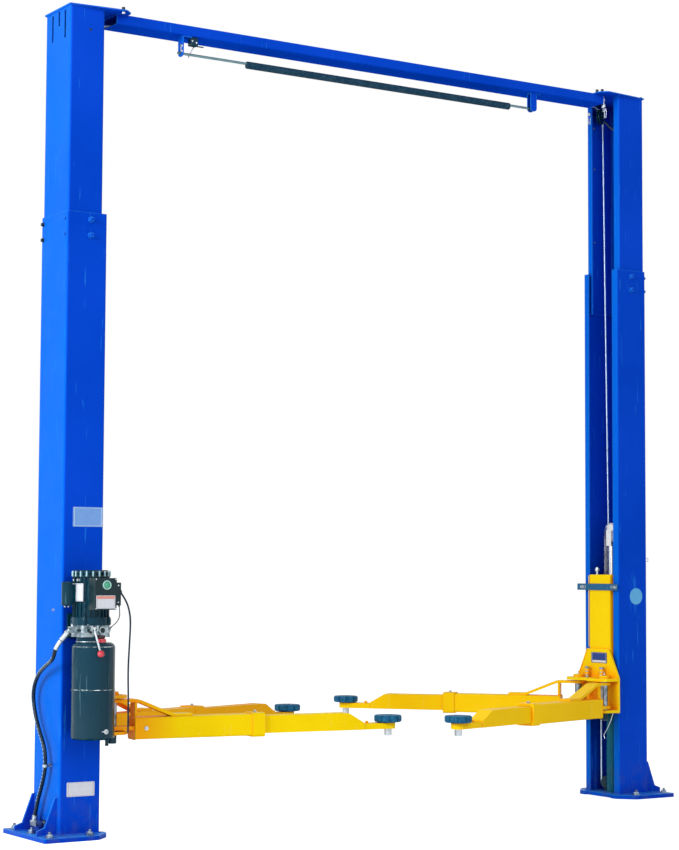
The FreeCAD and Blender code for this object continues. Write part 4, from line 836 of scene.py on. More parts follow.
def leaf_outline():
    """Waisted oval: two eyes a pitch apart, with the height drawn in between them."""
    angle = np.linspace(0, 2 * np.pi, 14, endpoint=False)
    along = np.cos(angle)
    height = 0.0064 * np.sin(angle) * (1 - 0.10 * np.exp(-(along / 0.35) ** 2))
    eye = np.sign(along) * LINK_PITCH / 2 * np.minimum(1, np.abs(along) * 4)
    return np.column_stack([along * 0.0054 + eye, height])


def repeated(shape, places, turns):
    """One shape put at many places, each with its own 3 by 3 turn whose rows are its new axes."""
    points, faces = shape
    many = (points @ turns + places[:, None, :]).reshape(-1, 3)
    starts = np.arange(len(places)) * len(points)
    return many, [[corner + start for corner in face] for start in starts for face in faces]


def chain(x):
    """Leaf chain in the plane square to X: up from its foot, half round the sheave, which stands
    at the column line, and down to the carriage."""
    arc = np.linspace(np.pi, 0, 24)
    bend_y = COLUMN_Y - SHEAVE_RADIUS * np.cos(np.pi - arc)
    path = [(x, COLUMN_Y - SHEAVE_RADIUS, CHAIN_FOOT_Z)]
    path += [(x, y, z) for y, z in zip(bend_y, SHEAVE_Z + SHEAVE_RADIUS * np.sin(arc))]
    path += [(x, COLUMN_Y + SHEAVE_RADIUS, CHAIN_END_Z)]
    joints, _ = evenly(path, LINK_PITCH)
    middles = (joints[1:] + joints[:-1]) / 2
    along = joints[1:] - joints[:-1]
    along /= np.linalg.norm(along, axis=1)[:, None]
    pin_axis = np.broadcast_to(np.array([1.0, 0.0, 0.0]), along.shape)
    turns = np.stack([along, np.cross(pin_axis, along), pin_axis], axis=1)
    leaf = pressed_plate(leaf_outline(), LEAF_THICKNESS, (0, 0, -LEAF_THICKNESS / 2), TO_RIGHT,
                         TO_BACK)
    shapes = []
    for first, offsets in ((0, (-3, -1, 1, 3)), (1, (-2, 0, 2))):
        for offset in offsets:
            shapes.append(repeated(leaf, middles[first::2] + (offset * LEAF_GAP, 0, 0),
                                   turns[first::2]))
    pin = turned([(0.0022, -0.0098), (0.0028, -0.0092), (0.0028, 0.0092), (0.0022, 0.0098)],
                 (0, 0, 0), UP, 8)
    shapes.append(repeated(pin, joints, np.concatenate([turns, turns[-1:]])))
    return shapes


for side_name, side in SIDES:
    leaves = add_piece(f"{side_name}_leaf_chain", chain(CHAIN_X * side), ROPE_STEEL,
                       f"{side_name}_rod_body")
    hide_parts(f"{side_name}_lift_chain")
    print(leaves.name, len(leaves.data.polygons), "faces")

# %% [markdown]
# The equalizer ropes keep both carriages level. A wire rope is six strands laid round a
# core, so its outline has six lobes that turn once every lay. It is drawn as one tube with
# that lobed section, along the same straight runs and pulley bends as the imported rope.

# %% Equalizer ropes
FOOT_BEND, HEAD_BEND = 0.0288, 0.036
ROPE_LAY = 0.065


def rope_path(side):
    """Up from the carriage, round the foot pulley, up the column and over the head pulley:
    straight runs joined by arcs of each pulley's radius."""
    corners = np.array([at_column(*p) for p in ((1.602, 0.084, 0.760), (1.602, 0.084, 0.036),
                                                (1.648, 0.048, 0.036), (1.648, 0.108, 3.770),
                                                (1.400, -0.030, 3.770))])
    path = [corners[0]]
    for before, corner, after, bend in zip(corners, corners[1:], corners[2:],
                                           (FOOT_BEND, FOOT_BEND, HEAD_BEND)):
        arriving = (corner - before) / np.linalg.norm(corner - before)
        leaving = (after - corner) / np.linalg.norm(after - corner)
        half_turn = math.acos(np.clip(arriving @ leaving, -1, 1)) / 2
        start = corner - arriving * bend * math.tan(half_turn)
        square = leaving - arriving * (leaving @ arriving)
        square /= np.linalg.norm(square)
        centre = start + square * bend
        angle = np.linspace(0, 2 * half_turn, 14)[:, None]
        path.extend(centre + bend * (np.sin(angle) * arriving - np.cos(angle) * square))
    path.append(corners[-1])
    return np.array(path) * (side, 1, 1)


def rope_shape(side, radius=0.0060):
    """Six-lobed tube: the radius dips by a seventh between strands, and the lobes turn once a
    lay."""
    even, places = evenly(rope_path(side), 0.004)
    angle = np.linspace(0, 2 * np.pi, 18, endpoint=False)
    phase = 3 * (angle[None, :] - 2 * np.pi * places[:, None] / ROPE_LAY)
    return carried(even, radius * (0.86 + 0.14 * np.abs(np.cos(phase))), 18)


ropes = add_piece("laid_ropes", [rope_shape(-1), rope_shape(1)], ROPE_BLUE, crease=80)
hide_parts("equalizer_ropes")
print(ropes.name, len(ropes.data.polygons), "faces")

# %% [markdown]
# The columns stand on five floor anchors each. Two rows of bolts join the upper section to the
# lower one through its outer, front and back faces. The gussets, the base and the cap are welded.

# %% Anchors, joining bolts and column welds
BASE_TOP = 0.020
ANCHOR_PLACES = ((1.806, -0.190), (1.806, 0.0), (1.806, 0.190), (1.610, -0.190), (1.610, 0.190))
anchors = [anchor(at_column(x * side, y, BASE_TOP)) for side in (-1, 1) for x, y in ANCHOR_PLACES]
add_piece("floor_anchors", sum(anchors, []), PIN_STEEL)

JOINT_HEIGHTS = (2.812, 2.739)
joining, black_bolts = [], []
for side, x in ((-1, 1.619), (1, 1.635)):
    for z in JOINT_HEIGHTS:
        joining += bolt(at_column(1.738 * side, -0.124, z), (side, 0, 0), 0.014)
        black_bolts += bolt(at_column(1.738 * side, 0.118, z), (side, 0, 0), 0.015)
        for end in (-1, 1):
            joining += bolt(at_column(x * side, 0.140 * end, z), (0, end, 0), 0.021)
add_piece("joining_bolts", joining, BLUE_PAINT)
add_piece("black_joining_bolts", black_bolts, BLACK_PLASTIC)


def loop(points):
    """A path that returns to its first point."""
    return list(points) + [points[0]]


column_welds = []
for side in (-1, 1):
    foot = [(1.739, -0.141), (1.739, 0.141), (1.533, 0.141), (1.533, 0.102)]
    front_foot = [foot[0], (1.533, -0.141), (1.533, -0.102)]
    crown = [(1.557, -0.135), (1.733, -0.135), (1.733, 0.135), (1.557, 0.135)]
    for path, z, radius in ((foot, 0.021, 0.0035), (front_foot, 0.021, 0.0035),
                            (crown, 3.803, 0.0025)):
        column_welds.append(seam([(x * side, y, z) for x, y in path], radius))
    for gusset in (-0.120, 0.120):
        for face in (-0.0055, 0.0055):
            y = gusset + face
            column_welds.append(seam([(1.7385 * side, y, 0.030), (1.7385 * side, y, 0.180)]))
            column_welds.append(seam([(1.742 * side, y, 0.021), (1.834 * side, y, 0.021)]))
add_piece("column_welds", column_welds, BLUE_PAINT, crease=70)
print("anchors", len(anchors), "joining bolts", len(joining) // 3, "welds", len(column_welds))

# %% [markdown]
# The carriage carries the arms. Its yoke plates are welded to the slide, a steel strap is
# bolted across the slide's mouth, and each arm pin has a painted cap with a grease nipple above
# and a cup below. Beside each pin stands the sleeved lock rod with its rings, which keeps a
# loaded arm from swinging.

# %% Carriage fittings
SHELF_TOP, LOWER_SHELF, SHELF_THICKNESS = 0.636, 0.470, 0.014
PIN_X, PIN_Y = 1.462, 0.108
for side_name, side in SIDES:
    body = f"{side_name}_carriage_body"
    # The left carriage's caps and welds take the more orange copy of the yellow: painted shade.
    paint = YELLOW_PAINT if side > 0 else SHADED_YELLOW_PAINT
    fittings, strap_bolts, seams, caps, cups = [], [], [], [], []
    for end in (-1, 1):
        pin_at = at_column(PIN_X * side, PIN_Y * end, SHELF_TOP + 0.012)
        caps.append(turned([(0.0275, -0.0118), (0.0275, 0.001), (0.024, 0.003), (0.006, 0.004)],
                           pin_at, UP, 32))
        fittings.append(turned([(0.0045, 0), (0.0045, 0.006), (0.0028, 0.009), (0.0034, 0.013),
                                (0.002, 0.015)], stepped(pin_at, UP, 0.006), UP, 12))
        lock = at_column(1.484 * side, 0.060 * end, SHELF_TOP)
        caps.append(turned([(0.0095, 0), (0.0095, 0.057), (0.0060, 0.0592)], lock, UP, 20))
        fittings += [washer(stepped(lock, UP, height), UP, 0.0116, 0.005)
                     for height in (0.012, 0.029, 0.046)]
        cups.append(lathe([(19.6, 0), (19.6, 38.5), (15, 41)], (PIN_X * side, PIN_Y * end, 0.4555),
                          DOWN, 28))
        for y in (0.118, 0.137):
            strap_bolts += bolt(at_column(1.516 * side, y * end, 1.1235), (-side, 0, 0), 0.015)
        seams.append(seam([(1.5215 * side, 0.0885 * end, z) for z in (0.80, 1.185)], 0.003))
        seams.append(seam([(1.509 * side, 0.089 * end, 0.789), (1.509 * side, 0.166 * end, 0.640)]))
        for z in (SHELF_TOP, SHELF_TOP - SHELF_THICKNESS, LOWER_SHELF,
                  LOWER_SHELF - SHELF_THICKNESS):
            seams.append(seam([(1.5095 * side, 0.010 * end, z), (1.5095 * side, 0.163 * end, z)]))
    stud = lathe([(5.5, 0), (5.5, 16), (10.5, 18), (12, 28), (7.5, 40)],
                 (1.532 * side, 0.030, 1.190), UP, 20)
    add_piece(f"{side_name}_pin_fittings", fittings, BRIGHT_STEEL, body)
    add_piece(f"{side_name}_strap_bolts", strap_bolts, PIN_STEEL, body, crease=50)
    add_piece(f"{side_name}_pin_cups", cups, DARK_PAINT, body)
    add_piece(f"{side_name}_pin_caps", caps, paint, body)
    add_piece(f"{side_name}_top_stud", [stud], BRIGHT_STEEL, body)
    add_piece(f"{side_name}_yoke_welds", seams, paint, body, crease=70)
    print("fittings", body, len(fittings), "seams", len(seams))

# %% [markdown]
# An arm is easiest to dress lying along X with its pivot at zero, as it was drawn. A turn
# about the pivot then carries each shape to its place. The outer arm gets its welds and a
# stop bolt, and the inner arm its keeper bolt and the weld round its eye.

# %% Arms
ARM_PLACES = {"left_front": (-1, -1, -7.0, 1.417), "left_rear": (-1, 1, 20.0, 1.466),
              "right_front": (1, -1, 197.0, 1.302), "right_rear": (1, 1, 133.0, 1.302)}
ARM_Z, TUBE_TOP, TUBE_HALF = 0.483, 0.534, 0.0505
STRAP_Y = 0.0345


def on_arm(arm, shapes):
    """Shapes drawn along +X from the pivot, turned by the arm's angle and moved to the pivot."""
    side, end, turn, _ = ARM_PLACES[arm]
    c, s = math.cos(math.radians(turn)), math.sin(math.radians(turn))
    place = np.array(at_column(PIN_X * side, PIN_Y * end, 0.0))
    matrix = np.array([[c, s, 0], [-s, c, 0], [0, 0, 1]])
    return [(points @ matrix + place, faces) for points, faces in shapes]


def around_tube(x, corner=0.010):
    """Square loop round an arm's tube at x, its corners rounded."""
    outline = rounded_rectangle(2 * TUBE_HALF, 2 * TUBE_HALF, corner, 4)
    return loop([(x, y, ARM_Z + z) for y, z in outline])


for arm, (_, end, _, reach) in ARM_PLACES.items():
    seams = [weld(around_tube(0.677)), weld(around_tube(0.0955), 0.003)]
    for y in (-STRAP_Y, STRAP_Y):
        seams.append(weld([(0.292, y, TUBE_TOP), (0.379, y, TUBE_TOP)]))
        seams.append(weld([(0.100, y * 0.88, 0.535), (0.100, y * 0.88, 0.596)], 0.0025))
    seams.append(weld([(0.3805, -0.032, TUBE_TOP), (0.3805, 0.032, TUBE_TOP)]))
    add_piece(f"{arm}_arm_welds", on_arm(arm, seams), ARM_PAINT, f"{arm}_arm_body",
              crease=70)

    stops = bolt((0.147, -0.050, ARM_Z), TO_FRONT, 0.014) if end < 0 else []
    stops += bolt((0.709, 0.0, 0.539), UP, 0.013)
    add_piece(f"{arm}_stop_bolts", on_arm(arm, stops), BRIGHT_STEEL,
              f"{arm}_arm_body")

    keeper = bolt((reach - 0.115, 0.0, 0.470), UP, 0.015)
    keeper.append(weld([(reach + 0.0285 * math.cos(a), 0.0285 * math.sin(a), 0.4705)
                        for a in np.linspace(0, 2 * math.pi, 40)], 0.0025))
    add_piece(f"{arm}_tongue_fittings", on_arm(arm, keeper), ARM_PAINT,
              f"{arm}_extension_body", crease=60)
print("arms dressed:", ", ".join(ARM_PLACES))

# %% [markdown]
# The power unit is what a visitor looks at first: an electric motor over a cast pump block,
# with an oil tank below. Its small parts are all turned or pressed shapes, set on two upright
# axes, one through the motor and one through the tank. Angles round an axis are counted
# from the front towards the outside of the lift.

# %% Helpers for the power unit
MOTOR_AXIS = (-1.652, -0.258)
TANK_AXIS = (-1.636, -0.258)


def round_axis(axis, degrees, radius, z):
    """Point and outward direction at an angle round an upright axis: (-sin, -cos) from the
    front."""
    angle = math.radians(degrees)
    outward = (-math.sin(angle), -math.cos(angle), 0.0)
    return at_column(axis[0] + radius * outward[0], axis[1] + radius * outward[1], z), outward


def hoop(axis, radius, z, wire, steps=72):
    """Ring of round wire laid level round an upright axis."""
    angle = np.linspace(0, 2 * np.pi, steps)
    path = np.column_stack([axis[0] + radius * np.sin(angle),
                            COLUMN_Y + axis[1] + radius * np.cos(angle), np.full(steps, z)])
    return carried(path, wire, 8, lean=UP)


def wrapped_plate(axis, radius, first, last, low, high, thickness=0.0006):
    """Thin plate bent round an axis: inner and outer sheets over a grid of angle and height, and
    the rim between them. Each ring of points goes up the outside and down the inside."""
    angle = np.radians(np.linspace(first, last, 17))
    across = np.column_stack([-np.sin(angle), -np.cos(angle)])
    rings = []
    for reach, z in ((radius, low), (radius + thickness, low), (radius + thickness, high),
                     (radius, high)):
        flat = np.array(axis) + (0, COLUMN_Y) + reach * across
        rings.append(np.column_stack([flat, np.full(len(angle), z)]))
    return closed_rings(np.stack(rings, axis=1)[::-1])


def socket_screw(at, axis, radius):
    """Cap screw: a round head with a recess in its end."""
    return [turned([(0.9 * radius, 0), (radius, 0.15 * radius), (radius, 0.85 * radius),
                    (0.9 * radius, radius), (0.55 * radius, radius), (0.5 * radius, 0.5 * radius)],
                   at, axis, 16)]


flange_front, _ = round_axis(MOTOR_AXIS, 0, 0.084, 0.98)
print("front of the motor's flange:", [round(v, 3) for v in flange_front])

# %% [markdown]
# The fan cover at the motor's top is a pressed ring whose ribs catch the light, and the
# flange at its foot is held by four screws. Long ribs are rounded bars in a glossy paint, so
# each one shows a bright line from the lamps; the paint's pale tone adds a painted highlight
# to it. A capacitor hangs at the side under its own cover.

# %% Motor fittings
# Pale glossy paint for the ribs: the gloss is real, the pale tone is a painted highlight.
RIB_HIGHLIGHT_PAINT = powder_coat("fan_rib_painted_highlight", (0.36, 0.60, 0.68), (0.80, 0.88, 0.90), 0.16, 0.5,
                          0.04)

ribs = []
for degrees in range(-180, 180, 20):
    at, _ = round_axis(MOTOR_AXIS, degrees, 0.0835, 1.1775)
    ribs.append(turned([(0.001, -0.002), (0.0040, 0.001), (0.0040, 0.021), (0.001, 0.0245)], at, UP,
                       12))
add_piece("fan_cover_ribs", ribs, RIB_HIGHLIGHT_PAINT)

motor_screws, ears = [], []
for degrees in (-135, -45, 45, 135):
    at, _ = round_axis(MOTOR_AXIS, degrees, 0.086, 0.978)
    ears.append(turned([(0.008, -0.017), (0.009, -0.014), (0.009, 0.010), (0.008, 0.012)], at, UP,
                       16))
    ears += bolt(stepped(at, UP, 0.012), UP, 0.011)
for degrees in (72, 96):
    at, outward = round_axis(MOTOR_AXIS, degrees, 0.0765, 1.161)
    motor_screws += bolt(at, outward, 0.011)
for x in (-1.781, -1.764):
    motor_screws.append(lathe([(4, 0), (4.5, 1), (4.5, 8), (3, 9)], (x, -0.262, 1.0485), DOWN, 12))
add_piece("motor_screws", motor_screws, BRIGHT_STEEL)

cover_rims = [hoop(MOTOR_AXIS, 0.0840, 0.9945, 0.0012), hoop(MOTOR_AXIS, 0.0755, 1.2035, 0.0018)]
for z in (1.052, 1.149):
    outline = rounded_rectangle(0.0436, 0.0516, 0.020, 7)
    path = loop([at_column(-1.773 + u, -0.258 + v, z) for u, v in outline])
    cover_rims.append(carried(path, 0.0014, 8, lean=UP))
add_piece("motor_rims_and_ears", cover_rims + ears, DARK_PAINT)
print("motor:", len(ribs), "ribs and hoops,", len(motor_screws), "screw shapes")

# %% [markdown]
# Where the real machine carries printed labels there are bare plates here: satin foil with
# a pressed border line, riveted or glued on. The foil's tone is almost even, so the only
# detail is a soft brushing along it and a dark line set in from the edge. Each plate has its
# own UV map, which runs from 0 to 1 over its face, and the border is drawn from that.

# %% Foil plates
def foil(name, face, border, rough):
    """Satin foil: brushed along U, with a thin border line where U or V is 0.05 from an edge."""
    material, tree, output = new_material(name)
    uv = tree.nodes.new("ShaderNodeUVMap")
    uv.uv_map = "plate"
    coords = piece_coords(tree)
    from_middle = []
    for axis in ("X", "Y"):
        place = product(tree, part_of(tree, uv.outputs[0], axis), 0.5, "SUBTRACT")
        from_middle.append(product(tree, place, 0.0, "ABSOLUTE"))
    nearest = product(tree, *from_middle, "MAXIMUM")
    inner = shader_step(tree, "MapRange", Value=nearest, From_Min=0.440, From_Max=0.444)
    outer = shader_step(tree, "MapRange", Value=nearest, From_Min=0.456, From_Max=0.460, To_Min=1.0,
                        To_Max=0.0)
    brushed = drift(tree, stretched(tree, coords, (0.10, 0.10, 1.0)), 0.002, 0.0, 1.0)
    tone = blended(tree, brushed, tuple(0.93 * c for c in face), face)
    tone = blended(tree, product(tree, inner, outer), tone, border)
    grime = drift(tree, coords, 0.02, -0.10, 0.22, detail=6.0)
    tone = blended(tree, grime, tone, tuple(0.72 * c for c in face))
    bump = shader_step(tree, "Bump", Strength=0.15, Distance=0.0004, Height=brushed)
    surface_from(tree, output, Base_Color=tone, Roughness=rough, Normal=bump,
                 Specular_IOR_Level=0.4)
    return material


WHITE_FOIL = foil("white_foil", (0.66, 0.68, 0.75), (0.25, 0.28, 0.34), 0.45)
BLUE_FOIL = foil("blue_foil", (0.16, 0.34, 0.72), (0.62, 0.70, 0.82), 0.42)


def plate_uv(piece, across, upward):
    """UV map named plate: each corner's share of the way along across and along upward."""
    mesh = piece.data
    points = np.empty(len(mesh.vertices) * 3)
    mesh.vertices.foreach_get("co", points)
    corners = np.empty(len(mesh.loops), int)
    mesh.loops.foreach_get("vertex_index", corners)
    places = points.reshape(-1, 3)[corners]
    along = np.column_stack([places @ np.array(across, float), places @ np.array(upward, float)])
    share = (along - along.min(axis=0)) / np.ptp(along, axis=0)
    mesh.uv_layers.new(name="plate").data.foreach_set("uv", share.ravel())


def foil_plate(name, centre, across, upward, width, height, material, body="root", corner=0.004,
               rivets=0.0):
    """Bare plate 1 mm thick, centred on a face, with rivets of that radius near its corners."""
    outline = rounded_rectangle(width, height, corner, 5)
    shapes = [pressed_plate(outline, 0.001, centre, across, upward, ease=0.3)]
    plate = add_piece(name, shapes, material, body)
    plate_uv(plate, across, upward)
    if rivets:
        across, upward = np.array(across, float), np.array(upward, float)
        outward = np.cross(across, upward)
        head = [(rivets, 0), (0.8 * rivets, 0.45 * rivets), (0.3 * rivets, 0.65 * rivets)]
        u, v = width / 2 - 2.4 * rivets, height / 2 - 2.4 * rivets
        heads = [turned(head, np.array(centre) + a * across + b * upward + 0.0008 * outward,
                        outward, 12) for a in (-u, u) for b in (-v, v)]
        add_piece(name + "_rivets", heads, BRIGHT_STEEL, body)
    return plate


foil_plate("switch_plate", at_column(-1.653, -0.4081, 1.065), TO_RIGHT, UP, 0.093, 0.058,
           WHITE_FOIL)
motor_plate = add_piece("motor_plate", [wrapped_plate(MOTOR_AXIS, 0.0842, 50, 100, 1.067, 1.146)],
                        WHITE_FOIL)
plate_uv(motor_plate, (-0.26, 0.97, 0), UP)
foil_plate("column_plate", at_column(-1.6155, -0.1402, 1.4465), TO_RIGHT, UP, 0.150, 0.090,
           BLUE_FOIL, rivets=0.0022)
foil_plate("data_plate", at_column(-1.6335, -0.1402, 0.2205), TO_RIGHT, UP, 0.138, 0.064,
           WHITE_FOIL, rivets=0.0022)
print("plates:", WHITE_FOIL.name, BLUE_FOIL.name)

# %% [markdown]
# Under the right cap hang the fittings of the rope and of the hose that crosses over: a clevis,
# two wire loops, screws through the back wall and a short length of black hose. The caps carry
# low bolts, and a bare disc and a wire loop sit on the right column. Each yoke has a bare dark
# plate with a pale band, in the place of a printed one.

# %% Column heads and small fittings
def bent(points, radius, step=0.003):
    """Wire of one radius through points given from the column line."""
    return carried(evenly([at_column(*point) for point in points], step)[0], radius, 8)


CAP_TOP = 3.8095
CAP_BOLTS = ((1.424, -0.112, 14), (1.442, -0.134, 14), (1.722, -0.128, 6), (-1.470, -0.148, 16))
cap_bolts = [lathe([(8.5, 0), (8.5, height - 2), (7, height)], (x, y, CAP_TOP), UP, 14)
             for x, y, height in CAP_BOLTS]
cap_bolts += [lathe([(6.5, 0), (6, 0.8)], (-1.631, -0.1338, 3.699), TO_FRONT, 20),
              bent([(1.586, 0.020, 3.692), (1.600, -0.005, 3.660), (1.633, -0.050, 3.612)], 0.0055)]
add_piece("cap_bolts_and_hose_end", cap_bolts, BLACK_PLASTIC)

head_fittings = [lathe([(6, 0), (11.5, 4), (11.5, 18), (7, 22), (7, 36), (10.5, 40), (10.5, 52),
                        (6, 54), (6, 66)], (1.503, -0.072, 3.738), UP, 20),
                 lathe([(13, 0), (13, 5), (10, 8)], (1.500, -0.086, 3.726), TO_LEFT, 20),
                 lathe([(10.5, 0), (10.5, 4), (8, 6)], (1.5572, 0.111, 3.745), TO_LEFT, 20),
                 lathe([(6, 0), (9.5, 1), (9.5, 9), (6, 10)], (-1.470, -0.148, 3.8035), DOWN, 18)]
for x, y, z in ((1.500, -0.092, 3.700), (1.5572, 0.111, 3.708)):
    head_fittings.append(bent([(x, y - 0.007, z + 0.020), (x - 0.003, y - 0.007, z - 0.018),
                               (x - 0.003, y + 0.007, z - 0.018), (x, y + 0.007, z + 0.020)],
                              0.0018))
for z in (3.745, 3.672, 3.440, 3.030):
    head_fittings.append(lathe([(6.5, 0), (6, 4), (3.5, 5)], (1.604, 0.1305, z), TO_FRONT, 16))
head_fittings.append(bent([(1.740, -0.128, 1.262), (1.757, -0.128, 1.262), (1.757, -0.128, 1.280),
                           (1.740, -0.128, 1.280)], 0.0022))
add_piece("head_fittings", head_fittings, BRIGHT_STEEL)

NAVY_FOIL = foil("navy_foil", (0.0, 0.030, 0.22), (0.70, 0.76, 0.88), 0.45)
PALE_BLUE_FOIL = foil("pale_blue_foil", (0.10, 0.42, 0.76), (0.10, 0.42, 0.76), 0.45)
PINK_FOIL = foil("pink_foil", (0.70, 0.27, 0.22), (0.70, 0.27, 0.22), 0.45)
foil_plate("switch_plate_band", at_column(-1.653, -0.4088, 1.0855), TO_RIGHT, UP, 0.088, 0.012,
           PINK_FOIL, corner=0.001)
disc = lathe([(44, 0), (44, 0.6), (1, 0.8)], (1.660, -0.1399, 1.074), TO_FRONT, 48)
add_piece("round_plate", [disc], PALE_BLUE_FOIL)
for side_name, side in SIDES:
    foil_plate(f"{side_name}_yoke_plate", at_column(1.5088 * side, -0.010, 0.743), (0, -side, 0),
               UP, 0.128, 0.056, NAVY_FOIL, f"{side_name}_carriage_body")
    foil_plate(f"{side_name}_yoke_band", at_column(1.5080 * side, -0.010, 0.723), (0, -side, 0), UP,
               0.116, 0.012, WHITE_FOIL, f"{side_name}_carriage_body", corner=0.001)
tie = bent([(1.506, -0.128, 0.455), (1.504, -0.110, 0.410), (1.500, -0.088, 0.369),
            (1.500, -0.058, 0.332), (1.500, -0.066, 0.313)], 0.0022)
add_piece("right_tie_wire", [tie], BRIGHT_STEEL, "right_carriage_body")
print("head fittings", len(head_fittings), "cap bolts", len(cap_bolts))

# %% [markdown]
# The pump block is cast aluminium: plugs, a relief valve and cap screws stand on it. A red
# breather caps the filler, and a lever of bright rod ends in a red ball. The start button
# is a green dome in a pale ring. All the round ones are profiles turned about their own axis.

# %% Pump block, breather, lever and button
pump_shapes = []
for x, y in ((-1.712, -0.306), (-1.592, -0.306), (-1.592, -0.210), (-1.712, -0.210)):
    pump_shapes += socket_screw(at_column(x, y, 0.960), UP, 0.0055)
pump_shapes.append(lathe([(15.5, 0), (16.5, 1), (16.5, 3), (13, 4)], (-1.627, -0.326, 0.938),
                         TO_FRONT, 24))
pump_shapes += [hexagon(at_column(-1.702, -0.318, 0.939), TO_FRONT, 0.022, 0.008),
                lathe([(7.5, 0), (7.5, 9), (5.5, 11)], (-1.702, -0.326, 0.939), TO_FRONT, 16)]
pump_shapes += [hexagon(at_column(-1.582, -0.262, 0.937), TO_RIGHT, 0.024, 0.010),
                lathe([(8, 0), (8, 14), (5.5, 17)], (-1.572, -0.262, 0.937), TO_RIGHT, 16)]
for x in (-1.660, -1.700):
    pump_shapes += socket_screw(at_column(x, -0.330, 0.9605), UP, 0.0045)
outline = rounded_rectangle(0.144, 0.124, 0.014, 7)
pump_shapes.append(pressed_plate(outline, 0.006, at_column(-1.652, -0.258, 0.908), TO_RIGHT,
                                 TO_BACK))
add_piece("pump_fittings", pump_shapes, CAST_METAL)

port_plug = [lathe([(11.8, -2), (11.8, 1), (9.5, 3), (4, 3.8)], (-1.627, -0.3298, 0.938),
                   TO_FRONT, 24),
             lathe([(6.5, -2), (6.5, 1.5), (4.5, 2)], (-1.702, -0.3365, 0.939), TO_FRONT, 16),
             pressed_plate(rounded_rectangle(0.020, 0.011, 0.004), 0.0012,
                           at_column(-1.738, -0.3182, 0.939), TO_RIGHT, UP),
             pressed_plate(rounded_rectangle(0.012, 0.024, 0.003), 0.0012,
                           at_column(-1.6805, -0.3182, 0.937), TO_RIGHT, UP)]
add_piece("port_plug", port_plug, BLACK_PLASTIC)

breather_at = at_column(-1.636, -0.340, 0.884)
cap = turned([(0.0140, 0), (0.0185, 0.001), (0.0198, 0.005), (0.0198, 0.013), (0.0180, 0.016),
              (0.0120, 0.017)], breather_at, UP, 32)
breather = add_piece("breather_cap", [cap], RED_PLASTIC)
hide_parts("filler_cap")
# The breather's upper body takes the darkened copy of the red plastic: painted shade under the pump
# block.
neck = turned([(0.0110, 0.015), (0.0110, 0.018), (0.0150, 0.020), (0.0155, 0.030),
               (0.0140, 0.033)], breather_at, UP, 28)
add_piece("breather_neck", [neck], RED_IN_SHADE)

lever_foot = np.array(at_column(-1.680, -0.348, 0.950))
lever_fall = np.array((0.023, -0.027, -0.114))
lever_length = float(np.linalg.norm(lever_fall))
lever_shapes = [turned([(0.0040, 0.004), (0.0048, 0.008), (0.0046, lever_length - 0.012),
                        (0.0040, lever_length)], lever_foot, lever_fall, 16),
                turned([(0.0080, -0.0095), (0.0092, -0.0085), (0.0092, 0.0085), (0.0080, 0.0095)],
                       lever_foot, TO_RIGHT, 20)]
lever_rod = add_piece("lever_rod", lever_shapes, BRIGHT_STEEL, "release_lever_body")
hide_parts("release_lever")
latitude = np.linspace(-0.49 * np.pi, 0.49 * np.pi, 15)
ball_profile = np.column_stack([0.0158 * np.cos(latitude), 0.0158 * np.sin(latitude)])
ball_profile = np.vstack([ball_profile, [(0.0060, 0.0165)]])
add_piece("lever_ball", [turned(ball_profile, lever_foot + lever_fall, -lever_fall, 28)],
          RED_PLASTIC, "release_lever_body")

button_at = at_column(-1.649, -0.408, 1.140)
collar = turned([(0.0205, 0), (0.0210, 0.002), (0.0205, 0.0065), (0.0185, 0.0080),
                 (0.0150, 0.0065), (0.0145, 0.0020)], button_at, TO_FRONT, 32)
ring = add_piece("button_ring", [collar], RING_PLASTIC)
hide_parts("start_button")
dome_radius = np.array([0.0140, 0.0138, 0.0125, 0.0095, 0.0050, 0.0008])
dome_height = 0.0025 + np.sqrt(0.0202 ** 2 - dome_radius ** 2) - 0.0145
dome = turned(np.column_stack([dome_radius, dome_height]), button_at, TO_FRONT, 28)
add_piece("button_dome", [dome], GREEN_PLASTIC)
print("lever", round(lever_length, 3), "m long; pump shapes", len(pump_shapes))

# %% [markdown]
# The tank is two pressed cups welded round the middle, so it shows a seam there and another
# round the shoulder, where the lid is rolled on. The seams are dark metal with bright patches,
# which are painted highlights. A drain valve with a small pull sits low at the front. The switch
# box is screwed to the motor, its lid held at four corners.

# %% Tank seams, drain and switch box
# Dark seam metal broken by bright patches: painted highlights along the seams.
SEAM_GLINT_METAL = bare_metal("seam_painted_glints", (0.55, 0.66, 0.70), (0.004, 0.030, 0.042), 0.22, (1, 1, 1),
                         0.010, 0.2, 2.2)
tank_shapes = [hoop(TANK_AXIS, 0.0985, 0.6745, 0.0017), hoop(TANK_AXIS, 0.0962, 0.8650, 0.0018)]
add_piece("tank_seams", tank_shapes, SEAM_GLINT_METAL)
sump = [turned([(0.0060, -0.030), (0.0085, -0.028), (0.0085, -0.023), (0.0075, -0.022),
                (0.0075, -0.007), (0.0090, -0.006), (0.0090, 0.002)],
               at_column(-1.582, -0.293, 0.453), UP, 18),
        hoop(TANK_AXIS, 0.0965, 0.4600, 0.0012)]
add_piece("tank_sump_plug", sump, DARK_PAINT)
neck_shapes = [hoop(MOTOR_AXIS, 0.0648, 0.8870, 0.0022)]
for degrees in (-60, -20, 20, 60, 110, 160, 200, 240):
    at, _ = round_axis(MOTOR_AXIS, degrees, 0.0560, 0.9065)
    neck_shapes.append(turned([(0.0035, -0.0005), (0.0035, 0.0015), (0.003, 0.002)], at, UP, 10))
add_piece("tank_neck_ring", neck_shapes, BRIGHT_STEEL)

